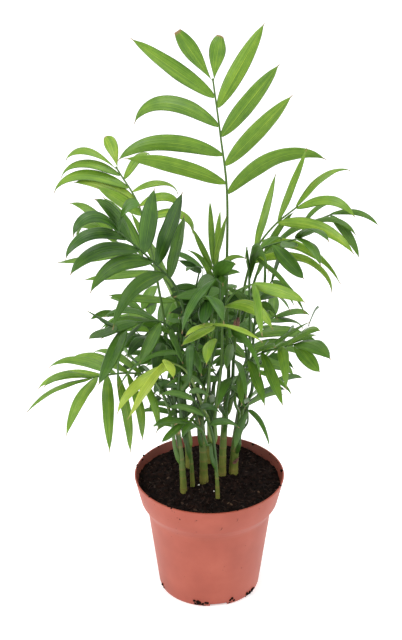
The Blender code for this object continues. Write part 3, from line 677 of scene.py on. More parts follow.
FRONDS = {
    "frond_tall": Frond(
        "cane_right", 80, [(13, 5, 255), (13, 10, 340), (8, 18, 385), (2, 28, 428)], 0.655, (0, -1, 0.25),
        Row(5, (64, 60, 50, 48, 25), (80, 86, 80, 78, 46), (20, 60, 90, 0, 0), lift=(4, -14, 4), roll=(5,)),
        Row(5, (46, 52, 45, 38, 15), (88, 72, 70, 70, 34), (70, 0, 0, 0, 30), lift=(4, 4, -10), roll=(5,)),
        width=12.5, blunt=True),
    "frond_front_left": Frond(
        "cane_middle", 60, [(-15, -6, 217), (-24, -20, 275), (-43, -42, 312), (-66, -74, 351)],
        0.62, (-0.2, -0.6, 0.8),
        Row(5, (30, 0, -20), (80, 66, 54), (70, 70, 130), lift=(0, -25, 5), roll=(-5,), width=12),
        Row(5, (30, 90, 95, 30, 25), (62, 56, 40), (0, 0, 70), lift=(20, 6), roll=(-10, -40, -10)),
        width=13.5),
    "frond_right_light": Frond(
        "cane_right", 66, [(20, 0, 225), (31, -2, 291), (46, -10, 323), (65, -18, 345)],
        0.66, (0, -0.7, 0.7),
        Row(3, (20, 30), (60, 66, 60), (10, 0, 70), lift=(-25, 6, -25), roll=(20,), width=9),
        Row(4, (45, 45, 12), (82, 84, 58), (100, 40, 80), roll=(20, 25, -40)),
        width=10),
    "frond_low_left": Frond(
        "cane_left", 34, [(-31, -20, 170), (-43, -28, 203), (-62, -40, 216), (-90, -60, 223)],
        0.66, (-0.2, -0.25, 0.95),
        Row(6, (90, 90, 50, 20), (54, 58, 80, 68), (95, 60, 40), lift=(0, -40, 6, 6), roll=(0, 10, -20)),
        Row(5, (70, 55, 0), (56, 60, 46), (60,), roll=(-20, -30, 0)),
        width=9),
    "frond_low_right": Frond(
        "cane_right_stout", 44, [(20, -8, 174), (24, -20, 207), (37, -36, 230), (64, -62, 253)],
        0.48, (0.2, -0.35, 0.9),
        Row(6, (60, -10, 50, 25, 0, -20), (46, 60, 34, 40, 70), (60, 20, 20, 40, 30),
            lift=(-45, 6, 6, 6, 6, 6), width=13),
        Row(5, (40, 50, 50, 35, 30), (48, 48, 60, 34), (40, 20, 0, 80, 0),
            lift=(-40, -40, -40, 6, -40), roll=(20, 30)),
        width=11),
    "frond_young_left": Frond(
        "cane_front_slim", 58, [(-4, -32, 178), (-17, -50, 222), (-33, -76, 247)], 0.82, (0, -0.4, 0.9),
        Row(2, (-10, 30), (62, 66), (60, 10), lift=(-40,), roll=(10, 40)),
        Row(1, (-40,), (42,), (30,), roll=(20,)),
        width=9),
    "frond_centre_right": Frond(
        "cane_front_slim", 58, [(9, -26, 217), (10, -45, 268), (17, -70, 299), (31, -92, 318)],
        0.7, (0, -0.5, 0.9),
        Row(1, (10,), (42,), (20,), lift=(-40,), roll=(-10,)),
        Row(2, (-10, 40), (62, 72), (70, 10), lift=(-25, -10), roll=(10, 30))),
    "frond_centre_low": Frond(
        "cane_left_slim", 44, [(-3, -27, 187), (1, -55, 248), (3, -80, 282), (2, -104, 292)],
        0.68, (0, -0.4, 0.9),
        Row(2, (-30, -25), (66, 40), (10, 30), lift=(-25, 6), roll=(40, 0), width=8),
        Row(2, (20, -25), (46, 54), (60, 30), lift=(-25, 6), roll=(0,))),
    "frond_centre": Frond(
        "cane_middle", 66, [(4, -30, 234), (7, -52, 290), (4, -76, 316), (-4, -104, 310)],
        0.62, (0, -0.3, 0.95),
        Row(3, (-40, -10, 10), (58, 56, 24), (10, 70, 20), lift=(-10, 6), roll=(-30,), width=13),
        Row(3, (-10, -30), (60, 40, 54), (80, 50, 80), lift=(6, 45), roll=(0, 0, -30)),
        width=12),
    "frond_back_left": Frond(
        "cane_left", 50, [(-30, 8, 185), (-38, 12, 253), (-52, 26, 319), (-72, 46, 349)],
        0.79, (-0.3, -0.7, 0.6),
        Row(5, (35, 35, 15), (42, 70, 50), (10, 80, 90), roll=(0, -30, -50)),
        Row(5, (75, 90, 20), (52, 34, 50, 30), (130, 90, 60), lift=(6, 6, -30, 6), roll=(-50, -50, 0)),
        width=10, blunt=True),
    "frond_mid_left": Frond(
        "cane_left_slim", 42, [(-24, -5, 188), (-26, -18, 233), (-38, -34, 257), (-71, -64, 269)],
        0.6, (-0.2, -0.3, 0.9),
        Row(5, (70, 40, -10, 35, 25), (40, 46, 66, 50), (10, 0, 120, 0, 0), lift=(-40, -40, 6),
            roll=(-10, -20, 0)),
        Row(4, (50, 50, 0, 10), (62, 40, 30), (80, 70, 0), roll=(0, -20, 0)),
        width=11),
    "frond_young_middle": Frond(
        "cane_middle", 74, [(-3, 1, 215), (3, 2, 257), (3, 2, 289)], 0.82, (0, -1, 0.2),
        Row(3, (15, 25, 10), (40, 38, 56), (40, 0, 0)),
        Row(3, (5, 30, 5), (50,), (80, 20, 0), roll=(-30, 0, 30)),
        width=5),
    "frond_right_front": Frond(
        "cane_right_stout", 60, [(31, -8, 232), (30, -33, 305), (41, -50, 327), (63, -74, 345)],
        0.62, (0.2, -0.5, 0.8),
        Row(4, (15, 70, -30, -20), (62, 24, 40, 50), (50, 80, 0, 60), roll=(-40, -20, 20, 50)),
        Row(4, (0, 50, 30, 20), (88, 54, 46), (90, 30, 0, 80), lift=(6, -25, -25, 6), roll=(60, 40, -50)),
        width=11),
    "frond_hanging_right": Frond(
        "cane_right_stout", 26, [(30, -2, 150), (30, -8, 165)], 0.85, (0.3, -0.6, 0.7),
        Row(1, (135,), (32,), (20,), roll=(-40,)),
        Row(1, (-20,), (48,), (80,), lift=(50,), roll=(50,)),
        width=7),
    "frond_low_centre": Frond(
        "cane_front_slim", 36, [(-2, -32, 148), (-7, -40, 167), (-20, -52, 180)], 0.5, (0, -0.4, 0.9),
        Row(2, (-20, 5), (42, 40), (100, 50), lift=(-10, 6)),
        Row(3, (60, -10, -35), (42, 34, 42), (70, 60, 0), lift=(-25, 6), roll=(-20, 0)),
        width=6),
    "frond_right_back": Frond(
        "cane_back", 60, [(24, 26, 221), (41, 28, 278), (62, 26, 303), (93, 16, 323)],
        0.58, (0.2, -0.4, 0.9),
        Row(3, (0, 40, -15), (48, 32, 46), (20, 70, 60), roll=(-10,), width=5),
        Row(4, (0, 0, 30), (60, 62, 46), (110, 100, 40), roll=(30, -40, 0)),
        width=7),
    "frond_behind_left": Frond(
        "cane_back_left", 50, [(-22, 26, 207), (-27, 30, 245), (-45, 42, 267), (-75, 62, 279)],
        0.52, (-0.2, -0.5, 0.85),
        Row(4, (65, 55, 45, -15), (54, 60, 56), (0, 10, 0, 110), roll=(-60, -20, -10)),
        Row(4, (-20, 10, 40, 20), (62, 56), (0, 10, 60), lift=(-25, 6, 50, 6), roll=(-40, 40, -40, 30)),
        width=10),
    "frond_inner_left": Frond(
        "cane_left_slim", 34, [(-21, -19, 158), (-24, -22, 193), (-21, -30, 220), (-15, -44, 241)],
        0.5, (0, -0.5, 0.85),
        Row(4, (75, -20, -30, -25), (24, 50, 74, 70), (100, 20, 80, 90), lift=(6, 50, 6), roll=(0, 40)),
        Row(3, (10, 30), (42, 56), (120, 20), lift=(6, -10), roll=(-40, 0)),
        width=8),
    "frond_inner_middle": Frond(
        "cane_middle", 40, [(-10, -10, 157), (-14, -9, 191), (-11, -14, 219), (-6, -20, 242)],
        0.5, (0.1, -0.4, 0.9),
        Row(2, (-40,), (46, 34), (50, 20), lift=(20, 6), roll=(-10,)),
        Row(3, (15, 40, 30), (32,), (100, 40), lift=(6, -20, 0), roll=(-50, 20, 20)),
        width=8),
    "frond_inner_right": Frond(
        "cane_right", 50, [(13, -7, 168), (18, -12, 201), (18, -20, 226), (13, -31, 246)],
        0.5, (0, -0.5, 0.85),
        Row(2, (70, 20), (36,), (30, 20), lift=(20, 0)),
        Row(4, (0, 10, -40, -15), (64,), (40, 50, 20, 100), lift=(50, 50, 6, 6), roll=(20, -20, 60, 10)),
        width=8),
    "frond_dark_left": Frond(
        "cane_back_left", 40, [(-24, 15, 160), (-24, 7, 196), (-31, -4, 219), (-44, -16, 233)],
        0.5, (-0.2, -0.4, 0.9),
        Row(4, (100, 20, 40, 20), (36, 70, 60, 56), (60, 80, 50, 50), roll=(-40, 0, -20, -10)),
        Row(4, (20, 0, 20, -10), (52, 46, 30, 44), (30, 0, 10, 20), roll=(-40, -10)),
        width=10),
    "frond_inner_back": Frond(
        "cane_back", 54, [(-5, 22, 162), (-4, 24, 196), (-4, 22, 225), (-10, 8, 252)], 0.5, (0, -0.6, 0.8),
        Row(4, (25, 10), (40, 50, 42), (110, 50, 90, 20), roll=(-20,)),
        Row(3, (10, 20, 15), (48, 56, 44), (110, 70, 60), roll=(-60, -20, 60)),
        width=10),
    "frond_centre_back": Frond(
        "cane_back_left", 56, [(-19, 30, 178), (-16, 30, 216), (-12, 24, 249), (-8, 12, 276)],
        0.55, (0, -0.8, 0.6),
        Row(3, (45, 120, 45), (22,), (90, 0, 20), roll=(-10,)),
        Row(3, (5, 35, 10), (40, 24, 38), (100, 30, 40), roll=(-30, 10)),
        width=8),
    "frond_right_inner": Frond(
        "cane_right_stout", 52, [(34, 14, 174), (34, 8, 216), (37, -4, 256), (47, -22, 286)],
        0.6, (0.1, -0.6, 0.8),
        Row(3, (10, 30, 10), (60, 32, 40), (30, 0, 30), roll=(20,)),
        Row(3, (5, 35), (56, 40), (90, 70, 40), roll=(-60, 20, 0)),
        width=8),
    "frond_back": Frond(
        "cane_back", 48, [(-2, 46, 190), (8, 70, 216), (12, 104, 214)], 0.5, (0, 0.3, 0.95),
        Row(6, (65, 33), (48, 56, 32), (60,)), Row(6, (65, 33), (48, 56, 32), (60,)), width=10),
    "frond_back_right": Frond(
        "cane_back", 36, [(26, 44, 170), (36, 66, 194), (54, 92, 196)], 0.5, (0.3, 0.3, 0.9),
        Row(6, (65, 33), (44, 52, 30), (60,)), Row(6, (65, 33), (44, 52, 30), (60,)), width=10),
    "frond_back_low": Frond(
        "cane_back_left", 24, [(-26, 48, 160), (-38, 70, 196), (-56, 94, 202)], 0.5, (-0.3, 0.3, 0.9),
        Row(6, (65, 33), (44, 52, 30), (60,)), Row(6, (65, 33), (44, 52, 30), (60,)), width=10),
}
highest = max(point[2] for frond in FRONDS.values() for point in frond.path)
print(len(FRONDS), "fronds; the highest stalk ends", highest, "mm up")

# %% Curves
BLADE_THICK = 0.7 * MM
BLADE_STATIONS = (0.13, 0.32, 0.58, 0.82, 1.0)
CLEARANCE = 0.9 * MM             # kept round a blade when neighbours are dodged
BLADE_ROOT = 1.5 * MM            # half the length of stalk that a leaflet grows from
BROADEST = 0.42                  # where a blade is broadest, as a share of its length
STALK_HALF = (1.5 * MM, 0.7 * MM)  # half thickness of a stalk, foot and tip
STALK_BESIDE = 14 * MM           # how far a stalk runs up beside its cane before it leaves
STALK_POINTS = 41
# What a blade with no room tries, least first: more spread, lift and bend in degrees, share of its length
LEANS = [(spread, lift, droop) for spread in (0, 8, -8, 16, -16, 26, -26)
         for lift in (0, 9, -9, 18, -18, 30) for droop in (0, 15, -12)]
NUDGES = [(*lean, share) for share in (1, 0.7, 0.45)
          for lean in sorted(LEANS, key=lambda lean: sum(abs(v) for v in lean))]


def smooth_curve(points, count):
    """count points, evenly spaced, on a Catmull-Rom curve through the given points."""
    ends = [points[0] * 2 - points[1], *points, points[-1] * 2 - points[-2]]
    dense = []
    for a, b, c, d in zip(ends, ends[1:], ends[2:], ends[3:]):
        for i in range(24):
            t = i / 24
            dense.append(0.5 * (2 * b + (c - a) * t + (2 * a - 5 * b + 4 * c - d) * t ** 2
                                + (3 * b - a - 3 * c + d) * t ** 3))
    dense.append(points[-1])
    return [point_at(dense, i / (count - 1)) for i in range(count)]


def path_length(points):
    """Length of a line of points."""
    return sum((b - a).length for a, b in zip(points, points[1:]))


def point_at(points, share):
    """The point this share of the way along a line of points."""
    left = share * path_length(points)
    for a, b in zip(points, points[1:]):
        step = (b - a).length
        if left <= step and step > 0:
            return a.lerp(b, left / step)
        left -= step
    return points[-1].copy()


def heading_at(points, share):
    """Which way the line runs there, as a unit vector."""
    return (point_at(points, min(share + 0.02, 1)) - point_at(points, max(share - 0.02, 0))).normalized()


print("helpers: smooth_curve, path_length, point_at and heading_at")

# %% The lines of canes and stalks
def cane_line(name):
    """Points up the middle of a cane, from its planted foot to its top."""
    (x, y), (top_x, top_y, height), _ = CANES[name]
    x, y, top_x, top_y, height = (v * MM for v in (x, y, top_x, top_y, height))
    ground = soil_top(x, y)
    foot = Vector((x, y, ground - SOCKET_DEPTH + GAP))
    top = Vector((top_x, top_y, ground + height))
    middle = foot.lerp(top, 0.5) + Vector((0.2 * (x - top_x), 0.2 * (y - top_y), 0))
    return smooth_curve([foot, middle, top], 9)


def cane_radius(name, share):
    """A cane's radius this share of the way up: it narrows evenly."""
    return CANES[name][2] * MM * (1.12 - 0.3 * share)


def stalk_line(frond):
    """Points along a frond's stalk: it starts against its cane and passes the frond's path points."""
    line = cane_line(frond.cane)
    share = min((SOCKET_DEPTH + frond.rise) / path_length(line), 1)
    start = point_at(line, share)
    first = Vector(frond.path[0]) * MM
    if share < 0.98:
        outward = Vector((first.x - start.x, first.y - start.y, 0)).normalized()
        start = start + outward * (cane_radius(frond.cane, share) + STALK_HALF[0] * 1.45 + GAP)
    else:
        start = start + UP * 2 * GAP
    beside = start + heading_at(line, share) * STALK_BESIDE
    return smooth_curve([start, beside] + [Vector(p) * MM for p in frond.path], STALK_POINTS)


print("the tall frond's stalk is", round(path_length(stalk_line(FRONDS["frond_tall"])) / MM), "mm long")

# %% One blade
def blade_width(share, blunt=False):
    """Width of a blade this share of the way along it, 1 at its broadest."""
    if blunt:
        return (min(share / 0.7, 1)) ** 0.7 * (1 - max(share - 0.7, 0) / 0.3 * 0.75)
    if share < BROADEST:
        return 0.16 + 0.84 * (1 - (1 - share / BROADEST) ** 2) ** 0.75
    return max(1 - ((share - BROADEST) / (1 - BROADEST)) ** 2.2, 0.05)


def blade_line(root, heading, normal, length, droop, count=13):
    """Points and normals along a blade that bends down under its own weight, most towards its tip."""
    points, normals = [root.copy()], [normal.copy()]
    for i in range(1, count):
        share = i / (count - 1)
        turn = math.radians(droop) * 2 * share / (count - 1)
        axis = heading.cross(-UP)
        if axis.length > 1e-4:
            bend = Matrix.Rotation(min(turn, heading.angle(-UP)), 3, axis)
            heading, normal = bend @ heading, bend @ normal
        points.append(points[-1] + heading * length / (count - 1))
        normals.append(normal.copy())
    return points, normals


def blade_sections(blade, extra=0.0):
    """Four corners of the blade at each station, from the edge on the stalk's foot side round."""
    points, normals = blade["line"]
    sections = []
    for share in BLADE_STATIONS:
        centre, ahead = point_at(points, share), heading_at(points, share)
        normal = normals[round(share * (len(normals) - 1))]
        up = (normal - ahead * normal.dot(ahead)).normalized()
        low = ahead.cross(up) * blade["side"]
        half = max(blade["width"] * blade_width(share, blade["blunt"]) / 2, 0.35 * MM) + extra
        thick = BLADE_THICK / 2 + extra
        sections.append([centre + low * a * half + up * b * thick
                         for a, b in ((1, 1), (1, -1), (-1, -1), (-1, 1))])
    return sections


print("a blade's width at each tenth:", [round(blade_width(t / 10), 2) for t in range(11)])

# %% Leaflets
STAGGER = 0.36                   # of a step: how much further along the left leaflets stand


def changing(values, share):
    """A value this share of the way through values that are evenly spaced."""
    place = share * (len(values) - 1)
    low = min(int(place), len(values) - 1)
    high = min(low + 1, len(values) - 1)
    return values[low] + (values[high] - values[low]) * (place - low)


def leaflets(name, frond, line):
    """Every leaflet of a frond before it meets its neighbours: place along the stalk, side and angles."""
    chance = random.Random(name)
    blades = []
    for side, row in frond.rows.items():
        for i in range(row.count):
            last = i == row.count - 1
            up_share = 1 if last else i / (row.count - 1)
            stagger = STAGGER / (row.count - 1) if side < 0 and not last else 0
            along = frond.bare + (1 - frond.bare) * (up_share + stagger)
            blades.append({
                "along": min(along, 1 - BLADE_ROOT / path_length(line)),
                "side": side,
                "spread": changing(row.spread, up_share) + chance.uniform(-3, 3),
                "lift": changing(row.lift, up_share),
                "length": changing(row.length, up_share) * chance.uniform(0.97, 1.03) * MM,
                "droop": changing(row.droop, up_share),
                "roll": changing(row.roll, up_share),
                "width": (row.width or frond.width) * chance.uniform(0.94, 1.06) * MM,
                "blunt": last and frond.blunt,
            })
    return sorted(blades, key=lambda blade: (blade["along"], blade["side"]))


def aim_blade(frond, line, row, nudge):
    """The blade's own line once the nudge is added to its angles and length."""
    ahead = heading_at(line, row["along"])
    across = ahead.cross(frond.face).normalized()
    normal = across.cross(ahead).normalized()
    spread, lift = math.radians(row["spread"] + nudge[0]), math.radians(row["lift"] + nudge[1])
    heading = ahead * math.cos(spread) + across * row["side"] * math.sin(spread)
    lifted = heading * math.cos(lift) + normal * math.sin(lift)
    normal = (normal - lifted * normal.dot(lifted)).normalized()
    normal = Matrix.Rotation(math.radians(row["roll"]) * row["side"], 3, lifted) @ normal
    root = point_at(line, row["along"]) + across * row["side"] * STALK_HALF[1]
    return blade_line(root, lifted, normal, row["length"] * nudge[3], max(row["droop"] + nudge[2], 0))


print(sum(row.count for frond in FRONDS.values() for row in frond.rows.values()), "leaflets to place")

# %% Making room
POT_HEADROOM = 6 * MM            # how far above the rim a blade stays while it is over the pot
POT_MARGIN = 8 * MM              # and how far outside the rim that holds


def section_tree(sections):
    """A search tree of the closed skin round a row of four-cornered sections."""
    corners = [c for s in sections for c in s]
    faces = [(0, 1, 2, 3), tuple(len(corners) - n for n in (4, 3, 2, 1))]
    for i in range(len(sections) - 1):
        for j in range(4):
            a, b = 4 * i + j, 4 * i + (j + 1) % 4
            faces.append((a, b, b + 4, a + 4))
    return BVHTree.FromPolygons(corners, faces)


def rod_tree(points, radius):
    """A search tree of a square rod along a line of points."""
    sections = []
    for i, p in enumerate(points):
        ahead = heading_at(points, i / (len(points) - 1))
        side = ahead.orthogonal().normalized()
        other = ahead.cross(side)
        sections.append([p + (side * a + other * b) * radius
                         for a, b in ((1, 1), (-1, 1), (-1, -1), (1, -1))])
    return section_tree(sections)


def over_pot(points):
    """True if a blade would dip in or close round the pot."""
    return any(p.z < POT_HEIGHT + POT_HEADROOM and math.hypot(p.x, p.y) < POT_RADIUS + POT_MARGIN
               for p in points)


def lay_out():
    """Where every stalk and blade goes. A blade that would run into a neighbour leans or stays short."""
    stalks = {name: stalk_line(frond) for name, frond in FRONDS.items()}
    rods = {name: rod_tree(line, STALK_HALF[0] + CLEARANCE) for name, line in stalks.items()}
    canes = {name: rod_tree(cane_line(name), cane_radius(name, 0) + CLEARANCE) for name in CANES}
    placed, blades = [], {}
    for name, frond in FRONDS.items():
        others = [tree for other, tree in rods.items() if other != name] + list(canes.values())
        blades[name] = []
        for row in leaflets(name, frond, stalks[name]):
            for nudge in NUDGES:
                row["line"] = aim_blade(frond, stalks[name], row, nudge)
                tree = section_tree(blade_sections(row, extra=CLEARANCE / 2))
                if not over_pot(row["line"][0]) and not any(tree.overlap(t) for t in others + placed):
                    break
            else:
                print("no room for a leaflet of", name, row["side"], round(row["along"], 2))
                continue
            placed.append(tree)
            blades[name].append(row)
    return stalks, blades


stalks, blades = lay_out()
print(sum(len(b) for b in blades.values()), "leaflets found their place")

# %% [markdown]
# ## The skin of leaves and canes
# A palm leaflet is a living sheet with a waxy skin: half gloss, about ten veins that run its whole length,
# paler underneath, and often a dry thread at its tip. Its colour is anything from blue-green, when it is
# old, to yellow-green, when it has just opened. All of that follows the leaflet and not the room, so the
# sweep below leaves four attributes on the mesh, and the materials read those: how far along, how far
# across, which side, and the tone.

# %% Living leaf
# From old blue-green to new yellow-green
LEAF_TONES = [(0.0, "#1a3513"), (0.25, "#2f5318"), (0.5, "#4b711c"), (0.72, "#6e9127"), (1.0, "#a2b53c")]


def streaks(node, across, along, fineness):
    """Noise drawn out along the leaf: fine across, slow along, and different on every leaflet."""
    tone = node("ShaderNodeAttribute", out="Fac", attribute_name="tone")
    place = node("ShaderNodeCombineXYZ",
                 [node("ShaderNodeMath", [across, fineness], operation="MULTIPLY"),
                  node("ShaderNodeMath", [along, 1.6], operation="MULTIPLY"),
                  node("ShaderNodeMath", [tone, 60.0], operation="MULTIPLY")])
    return node("ShaderNodeTexNoise", {"Vector": place, "Scale": 1.0, "Detail": 3.0})


def living_leaf():
    """A leaflet's waxy skin, whose colour follows its age, its veins and its side."""
    material, node, shader = new_material("living_leaf", IOR=1.4)
    across, along, tone, topside = (node("ShaderNodeAttribute", out="Fac", attribute_name=name)
                                    for name in ("across", "along", "tone", "topside"))
    from_middle = node("ShaderNodeMath", [across], operation="ABSOLUTE")
    # The ten veins, the midrib and the edge are each a little paler than the blade
    wave = node("ShaderNodeMath", [node("ShaderNodeMath", [across, math.pi * 10], operation="MULTIPLY")],
                operation="COSINE")
    veins = node("ShaderNodeMapRange", [wave, 0.4, 1.0, 0.0, 0.09])
    midrib = node("ShaderNodeMapRange", [from_middle, 0.07, 0.02, 0.0, 0.12])
    edge = node("ShaderNodeMapRange", [from_middle, 0.9, 1.0, 0.0, 0.08])
    fine = streaks(node, across, along, 7.0)
    mottle = node("ShaderNodeTexNoise", {"Vector": node("ShaderNodeTexCoord", out="Object"),
                                         "Scale": 1 / (9 * MM)})
    for share, amount in ((veins, 1.0), (midrib, 1.0), (edge, 1.0), (fine, 0.5), (mottle, 0.3)):
        tone = node("ShaderNodeMath", [share, amount, tone], operation="MULTIPLY_ADD")
    # Most of what the streaks and mottles add on average comes off again
    tone = node("ShaderNodeMath", [tone, 0.34], operation="SUBTRACT")
    green = node("ShaderNodeValToRGB", [tone], stops=LEAF_TONES)
    # The underside is paler and duller, and the very tip is dry
    below = node("ShaderNodeMapRange", [topside, 0.2, -0.6, 0.0, 0.45])
    green = node("ShaderNodeMix", {"Factor_Float": below, "A_Color": green, "B_Color": linear("#57822a")},
                 out="Result_Color", data_type="RGBA")
    dry = node("ShaderNodeMapRange", [node("ShaderNodeMath", [fine, 0.07, along], operation="MULTIPLY_ADD"),
                                      0.975, 1.02])
    colour = node("ShaderNodeMix", {"Factor_Float": dry, "A_Color": green, "B_Color": linear("#8d6f4b")},
                  out="Result_Color", data_type="RGBA")
    gloss = node("ShaderNodeMapRange", [fine, 0.3, 0.7, 0.33, 0.49])
    relief = node("ShaderNodeMath", [veins, 4.0, fine], operation="MULTIPLY_ADD")
    bump = node("ShaderNodeBump", {"Height": relief, "Strength": 0.35, "Distance": 0.25 * MM})
    feed(shader, {"Base Color": colour, "Roughness": gloss, "Normal": bump})
    return material


LEAF = living_leaf()
print(LEAF.name, "with", len(LEAF.node_tree.nodes), "nodes")

# %% Green stalk, cane and dry sheath
def green_stalk():
    """A leaf stalk's smooth, finely grooved skin, a little paler at its foot."""
    material, node, shader = new_material("green_stalk", Roughness=0.42, IOR=1.45)
    across, along, tone = (node("ShaderNodeAttribute", out="Fac", attribute_name=name)
                           for name in ("across", "along", "tone"))
    fine = streaks(node, across, along, 5.0)
    foot = node("ShaderNodeMapRange", [along, 0.12, 0.0, 0.0, 0.12])
    tone = node("ShaderNodeMath", [tone, 0.5, foot], operation="MULTIPLY_ADD")
    tone = node("ShaderNodeMath", [fine, 0.5, tone], operation="MULTIPLY_ADD")
    colour = node("ShaderNodeValToRGB", [tone], stops=[(0.1, "#1f3a10"), (0.4, "#335516"),
                                                       (0.65, "#54722a"), (0.9, "#7f8c3c")])
    bump = node("ShaderNodeBump", {"Height": fine, "Strength": 0.3, "Distance": 0.2 * MM})
    feed(shader, {"Base Color": colour, "Normal": bump})
    return material


def lengthwise(node, place, spacing, stretch):
    """Noise in fibres this far apart that run up and down."""
    drawn_out = node("ShaderNodeVectorMath", [place, (1.0, 1.0, stretch)], operation="MULTIPLY")
    return node("ShaderNodeTexNoise", {"Vector": drawn_out, "Scale": 1 / spacing, "Detail": 3.0})


def smooth_cane():
    """A cane's hard skin: straw at its foot, green above, with a brown line round it at each scar."""
    material, node, shader = new_material("smooth_green_cane", Roughness=0.45, IOR=1.45)
    along, ring = (node("ShaderNodeAttribute", out="Fac", attribute_name=name) for name in ("along", "ring"))
    place = node("ShaderNodeTexCoord", out="Object")
    fibres = lengthwise(node, place, 1.3 * MM, 0.12)
    blotches = node("ShaderNodeTexNoise", {"Vector": place, "Scale": 1 / (7 * MM), "Detail": 3.0})
    tone = node("ShaderNodeMath", [blotches, 0.35, along], operation="MULTIPLY_ADD")
    tone = node("ShaderNodeMath", [fibres, 0.3, tone], operation="MULTIPLY_ADD")
    tone = node("ShaderNodeMath", [tone, 0.7], operation="MULTIPLY")
    colour = node("ShaderNodeValToRGB", [tone], stops=[(0.2, "#84703a"), (0.33, "#85853d"),
                                                       (0.48, "#5a6c2a"), (0.85, "#3f5a20")])
    scar = node("ShaderNodeMapRange", [ring, 0.25, 0.8, 0.0, 0.5])
    colour = node("ShaderNodeMix", {"Factor_Float": scar, "A_Color": colour, "B_Color": linear("#85793f")},
                  out="Result_Color", data_type="RGBA")
    line = node("ShaderNodeMapRange", [ring, 0.86, 0.98, 0.0, 0.8])
    colour = node("ShaderNodeMix", {"Factor_Float": line, "A_Color": colour, "B_Color": linear("#5b4527")},
                  out="Result_Color", data_type="RGBA")
    bump = node("ShaderNodeBump", {"Height": fibres, "Strength": 0.3, "Distance": 0.25 * MM})
    feed(shader, {"Base Color": colour, "Normal": bump})
    return material


def dry_sheath(name, light, dark):
    """A dead leaf base: dull, papery and fibrous."""
    material, node, shader = new_material(name, Roughness=0.75, IOR=1.45)
    fibres = lengthwise(node, node("ShaderNodeTexCoord", out="Object"), 0.9 * MM, 0.1)
    colour = node("ShaderNodeValToRGB", [fibres], stops=[(0.35, dark), (0.62, light)])
    bump = node("ShaderNodeBump", {"Height": fibres, "Strength": 0.6, "Distance": 0.3 * MM})
    feed(shader, {"Base Color": colour, "Normal": bump})
    return material


STALK, CANE = green_stalk(), smooth_cane()
PAPER = dry_sheath("dry_papery_sheath", "#c2ab7c", "#8d7148")
PURPLE = dry_sheath("withered_purple_sheath", "#8a6254", "#543a33")
print([m.name for m in (STALK, CANE, PAPER, PURPLE)])

# %% [markdown]
# ## Sweeping a section along a line
# A leaflet, a stalk and a cane are one idea: a closed section carried along a line, scaled by a width that
# changes on the way, and turned so that its upper side follows a given direction. Curve to Mesh does that.
# The line is a row of mesh points that carry the width, the direction and everything that the materials
# read. The leaflet's section is a flat loop with pleats: the tree gives it thickness afterwards, by the
# same amount everywhere, because a blade doesn't get thinner where it gets narrower.

# %% The sections
def section(name, loop):
    """A closed loop of (rise, across) points, one unit from the middle to the edge, as a mesh object.
    The third value says which side a point is on: 1 above, 0 on the edge, -1 below."""
    mesh = bpy.data.meshes.new(name)
    mesh.from_pydata([(rise, across, 0) for rise, across, _ in loop],
                     [(i, (i + 1) % len(loop)) for i in range(len(loop))], [])
    for label, column in (("across", 1), ("topside", 2)):
        values = mesh.attributes.new(label, "FLOAT", "POINT")
        values.data.foreach_set("value", [point[column] for point in loop])
    return link(bpy.data.objects.new(name, mesh))


PLEAT_POINTS = 14
PLEAT_RELIEF = 0.028             # half the depth of the pleats, as a share of half the blade's width


def pleated(across):
    """How high a blade stands at this share of its half width: a ridge in the middle, shallow pleats."""
    return 0.06 - 0.2 * abs(across) ** 1.4 + PLEAT_RELIEF * math.cos(across * math.pi * 5)


spans = [2 * i / PLEAT_POINTS - 1 for i in range(PLEAT_POINTS + 1)]
upper = [(pleated(a), a, 0 if abs(a) == 1 else 1) for a in reversed(spans)]
lower = [(pleated(a), a, -1) for a in spans[1:-1]]
BLADE_SECTION = section("blade_section", upper + lower)

CHANNEL = 0.3                    # depth of the groove along the top of a stalk, as a share of its radius
CHANNEL_SPREAD = 0.55            # half its width, in radians


def round_section(name, count, channel=0.0):
    """A round loop of this many points, with a groove on its upper side."""
    loop = []
    for i in range(count):
        angle = math.tau * i / count
        reach = 1 - channel * math.exp(-(min(angle, math.tau - angle) / CHANNEL_SPREAD) ** 2)
        loop.append((reach * math.cos(angle), reach * math.sin(angle), 1 if math.cos(angle) > 0 else -1))
    return section(name, loop)


STALK_SECTION = round_section("stalk_section", 12, CHANNEL)
CANE_SECTION = round_section("cane_section", 20)
print("blade section:", len(BLADE_SECTION.data.vertices), "points, pleats",
      round(2 * PLEAT_RELIEF * 6, 2), "mm deep on a blade 12 mm wide")

# %% The tree that grows a frond
def add_sweep(node, lines, chosen, shape):
    """The chosen lines swept with the section object's loop."""
    curves = node("GeometryNodeMeshToCurve", {"Mesh": lines, "Selection": chosen})
    upward = node("GeometryNodeInputNamedAttribute", ["blade_normal"], data_type="FLOAT_VECTOR")
    turned = node("GeometryNodeSetCurveNormal", {"Curve": curves, "Normal": upward}, mode="FREE")
    shape_mesh = node("GeometryNodeObjectInfo", {"Object": shape}, out="Geometry")
    width = node("GeometryNodeInputNamedAttribute", ["half_width"], data_type="FLOAT")
    swept = node("GeometryNodeCurveToMesh", {"Curve": turned, "Scale": width, "Fill Caps": True,
                                             "Profile Curve": node("GeometryNodeMeshToCurve", [shape_mesh])})
    return node("GeometryNodeSetShadeSmooth", [swept])


